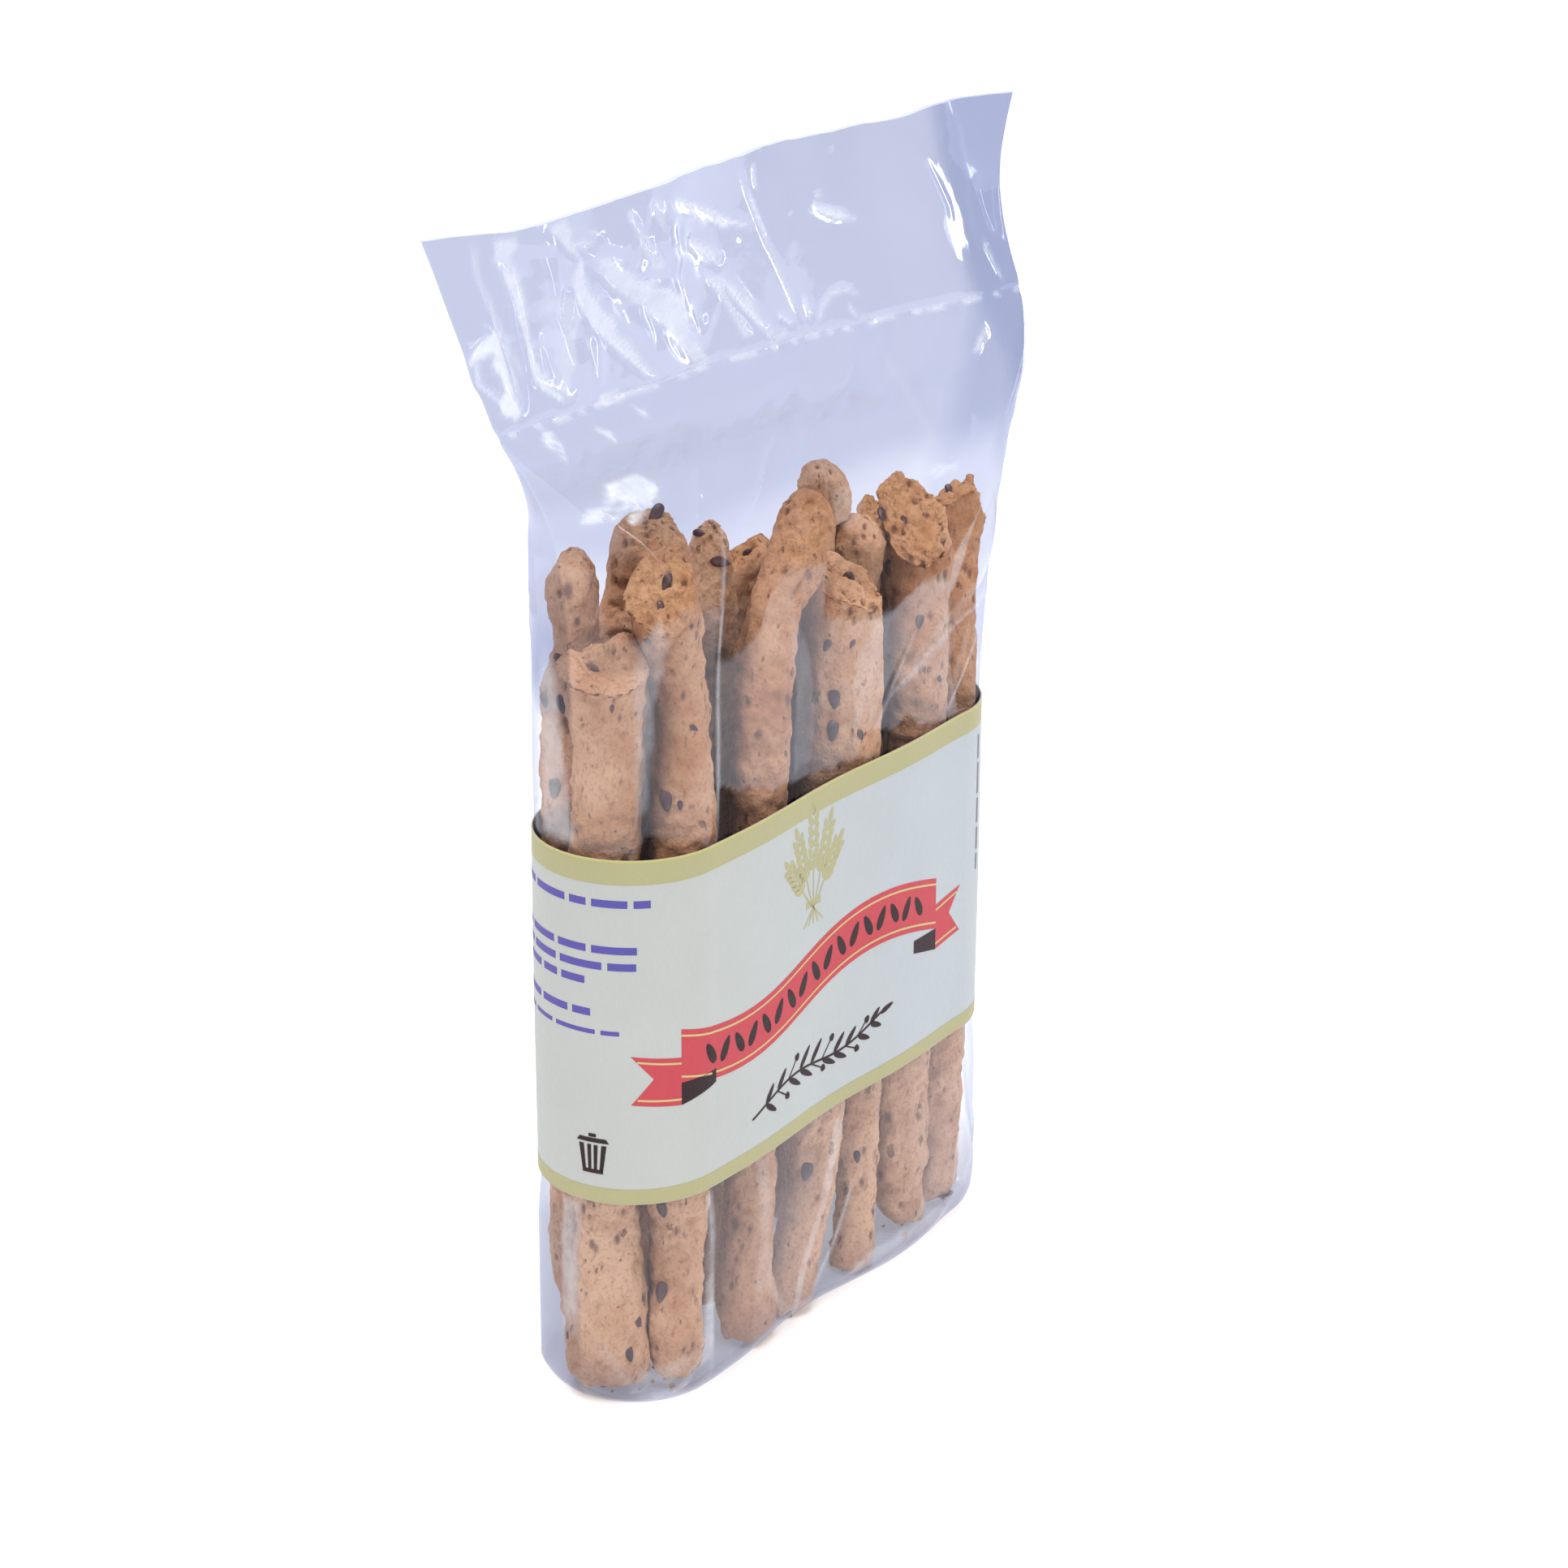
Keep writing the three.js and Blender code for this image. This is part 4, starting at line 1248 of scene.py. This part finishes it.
def build_sticks(material):
    noise = Noise(21)
    rng = np.random.default_rng(5)
    grids, numbers = {}, {}
    for name in STICKS:
        grids[name], numbers[name] = stick_points(name, noise, rng)
    part_sticks(grids)
    pieces = []
    for name, grid in grids.items():
        points = keep_inside(grid.reshape(-1, 3), FILM_GAP)
        points[:, 2] = np.maximum(points[:, 2], FLOOR_GAP)
        # Painted shade: the crust darkens the deeper it lies between the others, less at the tips
        # and feet
        dx, dy, film = from_middle(points)
        crevice_shade = smoothstep(film - np.hypot(dx, dy), 6.5, 10.5)
        crevice_shade *= 1 - smoothstep(points[:, 2], 138, 156)
        numbers[name]["shade"] = crevice_shade * lerp(0.45, 1, smoothstep(points[:, 2], 40, 60))
        faces = grid_faces(*grid.shape[:2])
        piece = make_object("breadstick_" + name, points, faces, material, "bread", numbers[name])
        merge_doubles(piece)
        pieces.append(piece)
    return pieces


# ---------------------------------------------------------------- seeds and crumbs

SEED_LENGTH = 4.6
SEED_WIDTH = 2.4
SEED_DEPTH = 1.2
SEED_ROWS = 13
SEED_COLUMNS = 14
SEED_LIFT = 0.12
# Large seeds on the sides that the photograph shows: its pixel, the size, and the turn in degrees
# from upright
SEED_SPOTS = [
    (821, 718, 0.8, -15), (814, 748, 0.55, 10), (821, 985, 1, 4), (838, 992, 0.42, 0),
    (855, 897, 0.4, 60), (815, 1592, 0.92, -12), (816, 1490, 0.8, 5), (887, 692, 0.9, 75),
    (808, 632, 0.9, -38), (775, 1668, 0.75, 20), (692, 868, 0.85, -8), (671, 862, 0.7, 10),
    (1028, 860, 1, 4), (1026, 900, 0.95, -5), (994, 1442, 1, -12), (1114, 641, 0.5, 0),
    (1170, 604, 0.6, 30), (684, 972, 0.95, 0), (1133, 765, 0.7, -8), (1019, 795, 0.6, -25),
    (733, 824, 0.5, 50), (987, 935, 0.5, 10), (862, 657, 0.6, 80), (1095, 700, 0.8, 20),
    (798, 790, 0.4, 45), (786, 1628, 0.6, 30), (1056, 1425, 0.6, 5), (754, 873, 0.35, 0),
    (1050, 793, 0.4, -30), (700, 1645, 0.35, 0), (1060, 905, 0.5, 20), (1157, 836, 0.4, 30),
]
SEED_DRAWS = 12  # places tried on each stick, of which those on its far sides are used
SPECK_PIXELS = [
    (770, 1515), (775, 1545), (840, 1555), (843, 1570), (985, 858), (1040, 1480), (800, 1568),
]
BASE_CRUMBS = 60
STICK_CRUMBS = 10
CRUMB_GAP = 0.5


def camera_axes():
    forward = Vector(CAMERA_FORWARD).normalized()
    right = forward.cross(Vector((0, 0, 1))).normalized()
    up = right.cross(forward)
    cos, sin = math.cos(CAMERA_ROLL), math.sin(CAMERA_ROLL)
    return right * cos + up * sin, up * cos - right * sin, forward


def ray_through(pixel):
    right, up, forward = camera_axes()
    x = (pixel[0] - PHOTO_PIXELS / 2) / FOCAL_PIXELS
    y = (PHOTO_PIXELS / 2 - pixel[1]) / FOCAL_PIXELS
    return Vector(CAMERA_PLACE) * MM, (forward + right * x + up * y).normalized()


def seed_shape():
    """One flax seed lying flat along Y, pointed at one end: points in mm and faces."""
    t = np.linspace(0, math.pi, SEED_ROWS)[:, None]
    a = np.arange(SEED_COLUMNS)[None, :] * 2 * math.pi / SEED_COLUMNS
    narrow = np.sin(t) * (1 - 0.32 * np.cos(t))
    points = np.stack(np.broadcast_arrays(
        SEED_WIDTH / 2 * narrow * np.cos(a),
        -SEED_LENGTH / 2 * np.cos(t),
        SEED_DEPTH / 2 * narrow * np.sin(a),
    ), -1).reshape(-1, 3)
    return points, grid_faces(SEED_ROWS, SEED_COLUMNS)


def tree_of(pieces):
    """One tree of triangles for ray casts onto several pieces."""
    points, faces = [], []
    for piece in pieces:
        first = len(points)
        points += [v.co.copy() for v in piece.data.vertices]
        faces += [[first + i for i in p.vertices] for p in piece.data.polygons]
    return BVHTree.FromPolygons(points, faces)


def frame_on(normal, towards):
    """Axes with Z along the normal and Y as near `towards` as it can be."""
    z = normal.normalized()
    y = (towards - z * towards.dot(z)).normalized()
    return Matrix((y.cross(z), y, z)).transposed()


def build_seeds(sticks, material):
    """Flax seeds baked into the crust: those that show, and a few on each stick's far sides."""
    rng = np.random.default_rng(8)
    tree = tree_of(sticks)
    right, up, forward = camera_axes()
    spots = []
    for x, y, size, degrees in SEED_SPOTS:
        hit, normal, _, _ = tree.ray_cast(*ray_through((x, y)))
        if hit:
            cos, sin = direction(degrees)
            spots.append((hit, normal.lerp(-forward, 0.4), up * cos - right * sin, size, SEED_LIFT))
    for piece in sticks:
        vertices = piece.data.vertices
        for index in rng.integers(0, len(vertices), SEED_DRAWS):
            place, normal = vertices[index].co.copy(), vertices[index].normal.copy()
            along = Vector((rng.normal(0, 0.5), rng.normal(0, 0.5), 1))
            if normal.dot(forward) > 0.1:
                spots.append((place, normal, along, rng.uniform(0.7, 1.05), 0.0))
    points, faces = seed_shape()
    seeds = []
    for place, normal, along, size, lift in spots:
        turn = np.array(frame_on(normal, along))
        centre = np.array(place) / MM + np.array(normal) * lift
        seeds.append((points * size @ turn.T + centre, faces))
    piece = make_object("flax_seeds", *joined(seeds), material, "seed")
    merge_doubles(piece)
    return piece


def lump_shape(rng):
    """A small uneven crumb of about unit size: points and faces."""
    shape = bmesh.new()
    bmesh.ops.create_icosphere(shape, subdivisions=2, radius=0.5)
    points = np.array([v.co[:] for v in shape.verts])
    faces = np.array([[v.index for v in f.verts] for f in shape.faces])
    shape.free()
    dents = 1 + 0.35 * rng.uniform(-1, 1, len(points))[:, None]
    return points * dents * rng.uniform(0.6, 1.2, 3), faces


def build_crumbs(sticks, material):
    """Crumbs in the bottom of the bag, on the breadsticks and caught against the film."""
    rng = np.random.default_rng(17)
    tree = tree_of(sticks)
    crumbs = []

    def add(centre, size):
        points, faces = lump_shape(rng)
        crumbs.append((keep_inside(points * size + centre, CRUMB_GAP), faces))

    for _ in range(BASE_CRUMBS):
        turn, level = rng.uniform(0, 4), rng.uniform(1.0, 4.5)
        spot, outward = shell(turn, level)
        x, y, _ = spot - outward * rng.uniform(3.5, 12)
        add(np.array((x, y, rng.uniform(1.0, 1.6))), rng.uniform(0.4, 1.4))
    for pixel in SPECK_PIXELS:
        hit = tree.ray_cast(*ray_through(pixel))[0]
        if hit:
            add(np.array(hit) / MM, rng.uniform(0.4, 0.6))
    for piece in sticks:
        vertices = piece.data.vertices
        for index in rng.integers(0, len(vertices), STICK_CRUMBS):
            add(np.array(vertices[index].co) / MM, rng.uniform(0.3, 0.7))
    return make_object("crumbs", *joined(crumbs), material, "bread")


# ---------------------------------------------------------------- the paper sleeve

PAPER_INNER = 0.35
PAPER_OUTER = 0.62
PAPER_BUCKLE = 0.10
PAPER_PANEL_STEPS = 120
PAPER_END_STEPS = 64
PAPER_ROWS = 31
OVERLAP_HEIGHT = 0.22
OVERLAP_RISE = (2.28, 2.284)  # turns over which the glued overlap rises and falls
OVERLAP_FALL = (2.42, 2.47)
SHARP_ANGLE = 40

# Places round the sleeve, across from the middle of its front to the middle of its back on both
# sides, and the turns there
CORNER_PLACES = np.array((-PANEL_LENGTH - END_ARC, -PANEL_LENGTH / 2 - END_ARC, -PANEL_LENGTH / 2,
                          PANEL_LENGTH / 2, PANEL_LENGTH / 2 + END_ARC, PANEL_LENGTH + END_ARC))
CORNER_TURNS = (2.5, 3, 4, 5, 6, 6.5)
PAPER_TURNS = turns_round(PAPER_PANEL_STEPS, PAPER_END_STEPS, PAPER_PANEL_STEPS)


def paper_lift(turn, level):
    """How far the paper's outside stands off the film, with its buckles and its overlap."""
    buckle = PAPER_BUCKLE * np.sin(turn * 9.1) * np.sin(level / 17)
    return PAPER_OUTER + buckle + OVERLAP_HEIGHT * hump(turn, OVERLAP_RISE, OVERLAP_FALL)


def build_sleeve(material):
    turn, level = np.meshgrid(PAPER_TURNS, np.linspace(SLEEVE_BOTTOM, SLEEVE_TOP, PAPER_ROWS))
    outside, _ = shell(turn, level, paper_lift(turn, level))
    inside, _ = shell(turn, level, PAPER_INNER)
    grid = np.concatenate((outside, inside[::-1], outside[:1]))
    faces = grid_faces(*grid.shape[:2])
    piece = make_object("paper_sleeve", grid.reshape(-1, 3), faces, material, "paper")
    merge_doubles(piece)
    piece.data.set_sharp_from_angle(angle=math.radians(SHARP_ANGLE))
    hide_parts("sleeve")
    return piece


# ---------------------------------------------------------------- the print

PRINT_LIFT = 0.03
OVERPRINT_LIFT = 0.06
HALF_GIRTH = PANEL_LENGTH + END_ARC
BAND_TOP = (110.2, 114.7)
BAND_RIM = (114.7, 114.98)
BAND_BOTTOM = (45.1, 48.2)
SHEAF_FOOT = (-10.5, 87.5)
# Each ear of the sheaf: its lean in degrees and its height
SHEAF_EARS = [(-38, 13.5), (-19, 17), (0, 19.5), (19, 17), (38, 13.5)]
RIBBON_ENDS = (-52, 33)
RIBBON_HALF = 5.5
RIBBON_EDGE = 1.3
RIBBON_STEPS = 26
RIBBON_SEEDS = 17
LINE_WIDTH = 0.42
FOLD_DROP = 4.6
TWIG_FOOT = (-32, 55)
BIN_FOOT = (-69, 51.5)
# The bin's ribs: how far the left and right corners are from its middle, below and then above
BIN_RIBS = [(-1.9, -1.2, -2.6, -1.6), (-0.7, -0.1, -0.9, -0.1), (0.4, 1.0, 0.4, 1.2),
            (1.5, 2.2, 1.9, 2.9)]
BIN_HEIGHT = 5.4
# Rows of bars like lines of text: the height, where it ends, and its size
TEXT_LEFT = -92
TEXT_SIZE = 1.5
TEXT_ROWS = [(105.6, -57.6, 1), (96.3, -57.8, 1), (93.0, -58.4, 1), (89.8, -70.0, 1),
             (83.4, -68.0, 1), (79.8, -63.5, 0.6)]


def wrap_shapes(name, shapes, material, slot, lift=PRINT_LIFT):
    """Flat shapes, each a list of (across, height), laid on the sleeve as one thin print.

    They are cut at the paper's columns, so that the print follows the paper.
    """
    flat = bmesh.new()
    for shape in shapes:
        flat.faces.new([flat.verts.new((across, height, 0)) for across, height in shape])
    bmesh.ops.triangulate(flat, faces=flat.faces)
    low = min(v.co.x for v in flat.verts) + 0.01
    high = max(v.co.x for v in flat.verts) - 0.01
    turns = np.where(PAPER_TURNS < CORNER_TURNS[0], PAPER_TURNS + 4, PAPER_TURNS)
    columns = np.interp(turns, CORNER_TURNS, CORNER_PLACES)
    for cut in np.sort(columns[(columns > low) & (columns < high)]):
        every = flat.verts[:] + flat.edges[:] + flat.faces[:]
        bmesh.ops.bisect_plane(flat, geom=every, plane_co=(cut, 0, 0), plane_no=(1, 0, 0),
                               dist=1e-5)
    bmesh.ops.triangulate(flat, faces=[f for f in flat.faces if len(f.verts) > 4])
    flat.verts.index_update()
    across, level = np.array([v.co[:2] for v in flat.verts]).T
    faces = [[v.index for v in f.verts] for f in flat.faces]
    flat.free()
    turn = np.interp(across, CORNER_PLACES, CORNER_TURNS)
    points, _ = shell(turn, level, paper_lift(turn % 4, level) + lift)
    return make_object(name, points, faces, material, slot)


def bar(left, right, bottom, top):
    return [(left, bottom), (right, bottom), (right, top), (left, top)]


def quads(lower, upper):
    """Quads between two lines of as many points."""
    return [[lower[i], lower[i + 1], upper[i + 1], upper[i]] for i in range(len(lower) - 1)]


def strip(points, width=LINE_WIDTH):
    """A band of even width along a line of points."""
    points = np.array(points, float)
    run = np.gradient(points, axis=0)
    side = np.stack((-run[:, 1], run[:, 0]), -1)
    side *= width / 2 / np.linalg.norm(side, axis=1, keepdims=True)
    return quads(points - side, points + side)


def leaf(x, y, length, width, degrees):
    """A pointed grain or leaf."""
    t = np.linspace(0, 2 * math.pi, 17)[:-1]
    px = length / 2 * np.cos(t)
    py = width / 2 * np.sin(t) * (1 - 0.25 * np.cos(t))
    c, s = direction(degrees)
    return [(x + a * c - b * s, y + a * s + b * c) for a, b in zip(px, py)]


def wheat_sheaf(x, y):
    """Five ears of wheat that fan out from a tied waist."""
    shapes = []
    for degrees, height in SHEAF_EARS:
        ahead = np.array(direction(90 - degrees))
        aside = np.array((ahead[1], -ahead[0]))
        foot = np.array((x + 0.032 * degrees, y + 4.5))
        shapes += strip([(x - degrees * 0.09, y), foot, foot + ahead * height * 0.5])
        for i in range(5):
            middle = foot + ahead * height * (0.42 + 0.115 * i)
            for side in (-1, 1):
                grain = middle + aside * side * 1.05
                shapes.append(leaf(*grain, 2.9, 1.45, 90 - degrees - side * 32))
        shapes.append(leaf(*(foot + ahead * height), 3.2, 1.4, 90 - degrees))
    return shapes + [bar(x - 2.6, x + 2.6, y + 3.7, y + 5.1)]


def text_lines(rng):
    """Rows of bars like words, without letters."""
    shapes = []
    for level, end, size in TEXT_ROWS:
        x = TEXT_LEFT + rng.uniform(0, 2)
        while x < end - 2:
            stop = min(x + rng.uniform(3, 9), end)
            shapes.append(bar(x, stop, level, level + TEXT_SIZE * size))
            x = stop + 1.1
    return shapes


def side_marks(rng):
    """Short dark bars that climb beside the right-hand end, like turned words."""
    shapes, y = [], 78.5
    while y < 108:
        stop = min(y + rng.uniform(2.5, 7), 109)
        shapes.append(bar(49.0, 50.1, y, stop))
        y = stop + 1.0
    return shapes


def waste_bin(x, y):
    """A bin with a lid and ribs."""
    top = y + BIN_HEIGHT
    shapes = [[(x + a, y), (x + b, y), (x + d, top), (x + c, top)] for a, b, c, d in BIN_RIBS]
    shapes.append(bar(x - 1.9, x + 2.2, y - 0.5, y + 0.3))
    shapes.append([(x - 3.1, y + 5.9), (x + 3.4, y + 5.9), (x + 2.8, y + 6.8), (x - 2.5, y + 6.8)])
    return shapes + [bar(x - 0.6, x + 0.9, y + 7.0, y + 7.7)]


def ribbon_middle(across):
    """The middle line of the ribbon: one long wave."""
    return 76.5 + 4.2 * np.sin((across + 12) / 46 * math.pi)


def along_ribbon(shift):
    x = np.linspace(*RIBBON_ENDS, RIBBON_STEPS)
    return np.stack((x, ribbon_middle(x) + shift), -1)


def ribbon_shapes():
    """The ribbon: red body and swallow tails, gold lines inside its edges, and dark folds."""
    red = quads(along_ribbon(-RIBBON_HALF), along_ribbon(RIBBON_HALF))
    gold = strip(along_ribbon(RIBBON_HALF - RIBBON_EDGE))
    gold += strip(along_ribbon(RIBBON_EDGE - RIBBON_HALF))
    dark = []
    for end, way in zip(RIBBON_ENDS, (-1, 1)):
        y = float(ribbon_middle(float(end))) - RIBBON_HALF
        inner, outer = end - way * 8.5, end + way * 9.5
        low = y - FOLD_DROP
        fold = [(end, y), (inner, y + 0.2), (inner, y - FOLD_DROP * 0.55), (end, low)]
        dark.append(fold[::way])
        notch, waist = (outer - way * 4.2, y + 1.6), (end, y + 0.4)
        red.append([(end, low), (outer, low + 1.0), notch, waist][::-way])
        red.append([waist, notch, (outer, y + 6.4), (end, y + 5.2)][::-way])
        gold += strip([(end, low + 1.2), (outer - way * 1.2, low + 2.0)])
        gold += strip([(end, y + 4.0), (outer - way * 1.2, y + 5.2)])
    return red, gold, dark


def seed_row():
    """Dark flax seeds along the ribbon's middle, tilted in turn."""
    places = np.linspace(RIBBON_ENDS[0] + 7, RIBBON_ENDS[1] - 7, RIBBON_SEEDS)
    return [leaf(x, float(ribbon_middle(x)), 5.2, 2.1, 62 if i % 2 else 118)
            for i, x in enumerate(places)]


def twig(x, y):
    """A slim flax twig: a wavy stem from (x, y) with narrow leaves and stalked buds."""
    share = np.linspace(0, 1, 70)
    sway = 1.5 * np.sin(2 * np.pi * (1.15 * share - 0.1))
    stem = np.stack((x + 45 * share, y + 4.6 * share + sway), -1)
    shapes = strip(stem, 0.5)
    for i, at in enumerate(np.linspace(0.1, 0.92, 10)):
        spot = np.array([np.interp(at, share, stem[:, k]) for k in (0, 1)])
        length = 5.6 - 3.6 * abs(at - 0.45)
        for side in (-1, 1):
            degrees = 8 + side * (44 - 14 * at)
            ahead = np.array(direction(degrees))
            middle = spot + (length / 2 + 0.2) * ahead
            if (i + side) % 3:
                shapes.append(leaf(*middle, length, 1.25, degrees))
            else:
                tip = spot + length * 0.95 * ahead
                shapes += strip([spot, middle, tip], 0.32)
                shapes.append(leaf(*tip, 1.7, 1.5, degrees))
    return shapes + [leaf(*(stem[-1] + (2.0, 0.3)), 4.4, 1.2, 12)]


def build_print():
    rng = np.random.default_rng(4)
    gold_ink = print_material("gold_ink", (0.452, 0.425, 0.225))
    rim_ink = print_material("gold_rim_ink", (0.61, 0.55, 0.09))
    line_ink = print_material("ribbon_line_ink", (0.66, 0.50, 0.22))
    red_ink = print_material("red_ink", (0.58, 0.075, 0.095), gloss=0.2)
    blue_ink = print_material("blue_ink", (0.10, 0.08, 0.38))
    dark_ink = print_material("dark_ink", (0.035, 0.018, 0.021), gloss=0.2)
    grey_ink = print_material("grey_ink", (0.17, 0.17, 0.22))
    red, lines, dark = ribbon_shapes()
    bands = [bar(-HALF_GIRTH, HALF_GIRTH, *BAND_TOP), bar(-HALF_GIRTH, HALF_GIRTH, *BAND_BOTTOM)]
    rim = [bar(-HALF_GIRTH, HALF_GIRTH, *BAND_RIM)]
    dark += seed_row() + twig(*TWIG_FOOT) + waste_bin(*BIN_FOOT)
    wrap_shapes("print_gold", bands + wheat_sheaf(*SHEAF_FOOT), gold_ink, "gold_ink")
    wrap_shapes("print_gold_rim", rim, rim_ink, "gold_ink")
    wrap_shapes("print_red", red, red_ink, "red_ink")
    wrap_shapes("print_ribbon_lines", lines, line_ink, "gold_ink", OVERPRINT_LIFT)
    wrap_shapes("print_dark", dark, dark_ink, "dark_ink", OVERPRINT_LIFT)
    wrap_shapes("print_blue", text_lines(rng), blue_ink, "blue_ink")
    wrap_shapes("print_side", side_marks(rng), grey_ink, "dark_ink")


# ---------------------------------------------------------------- floor, light and camera

FLOOR_HALF = 4000
FLOOR_GLOW = 0.17
SKY_LIGHT = 2.5
SKY_SPREAD = 34
SKY_DIRECTION = (0.2, 0.12, -1)
ROOM_LIGHT = 0.55
ROOM_COLOUR = (0.96, 0.97, 1.0, 1)
# Small lamps: the place in metres, the width and height in metres, and the power
GLINTS = {
    "right_glint": ((1.45, -0.3, 0.33), 0.2, 0.6, 3.2),
    "front_glint": ((0.45, -1.5, 0.33), 0.1, 0.6, 1.6),
    "back_glint": ((0.2, 1.4, 0.6), 0.2, 0.5, 2),
}
GLINT_TARGET = (0, 0, 0.2)


def build_floor():
    floor = Surface("pale_floor")
    shade = floor.span(floor.noise(180, 2.0), 0.3, 0.7)
    shader = floor.shader("BsdfPrincipled", {
        "Base Color": floor.blend(shade, (0.90, 0.90, 0.905), (0.92, 0.92, 0.925)),
        "Roughness": floor.span(floor.noise(3.0), 0.3, 0.7, 0.6, 0.75),
        "Specular IOR Level": 0.2,
        "Emission Color": (1, 1, 1, 1),
        "Emission Strength": FLOOR_GLOW,
    })
    corners = [(x, y, 0) for x, y in bar(-FLOOR_HALF, FLOOR_HALF, -FLOOR_HALF, FLOOR_HALF)]
    piece = make_object("floor", corners, [(0, 1, 2, 3)], floor.show(shader), None)


def place_lamp(lamp, place, way):
    """Puts a lamp in the scene, shining in a direction."""
    holder = bpy.data.objects.new(lamp.name, lamp)
    bpy.context.scene.collection.objects.link(holder)
    holder.location = place
    holder.rotation_euler = Vector(way).to_track_quat("-Z", "Y").to_euler()


def build_lights():
    """A broad soft light from above, a pale room, and small lamps that glint in the folds."""
    sky = bpy.data.lights.new("soft_overhead", "SUN")
    sky.energy = SKY_LIGHT
    sky.angle = math.radians(SKY_SPREAD)
    place_lamp(sky, (0, 0, 0), SKY_DIRECTION)
    for name, (place, width, height, power) in GLINTS.items():
        lamp = bpy.data.lights.new(name, "AREA")
        lamp.shape = "RECTANGLE"
        lamp.size, lamp.size_y = width, height
        lamp.energy = power
        place_lamp(lamp, place, Vector(GLINT_TARGET) - Vector(place))
    world = bpy.data.worlds.new("studio")
    bpy.context.scene.world = world
    world.use_nodes = True
    background = world.node_tree.nodes["Background"]
    background.inputs["Color"].default_value = ROOM_COLOUR
    background.inputs["Strength"].default_value = ROOM_LIGHT
    bpy.context.scene.view_settings.view_transform = "Standard"


def build_camera():
    right, up, forward = camera_axes()
    data = bpy.data.cameras.new("camera")
    data.sensor_width = SENSOR_WIDTH
    data.lens = SENSOR_WIDTH * FOCAL_PIXELS / PHOTO_PIXELS
    data.clip_start = 0.01
    camera = bpy.data.objects.new("camera", data)
    bpy.context.scene.collection.objects.link(camera)
    turn = Matrix((right, up, -forward)).transposed().to_4x4()
    camera.matrix_world = Matrix.Translation(Vector(CAMERA_PLACE) * MM) @ turn
    bpy.context.scene.camera = camera


build_camera()
build_lights()
build_floor()
bread = bread_material()
breadsticks = build_sticks(bread)
build_seeds(breadsticks, seed_material())
build_crumbs(breadsticks, bread)
build_film(film_material())
# The label paper's two colours paint greenish light on its left and bluish light on its right
build_sleeve(print_material("label_paper", (0.528, 0.546, 0.518), (0.505, 0.548, 0.58)))
build_print()
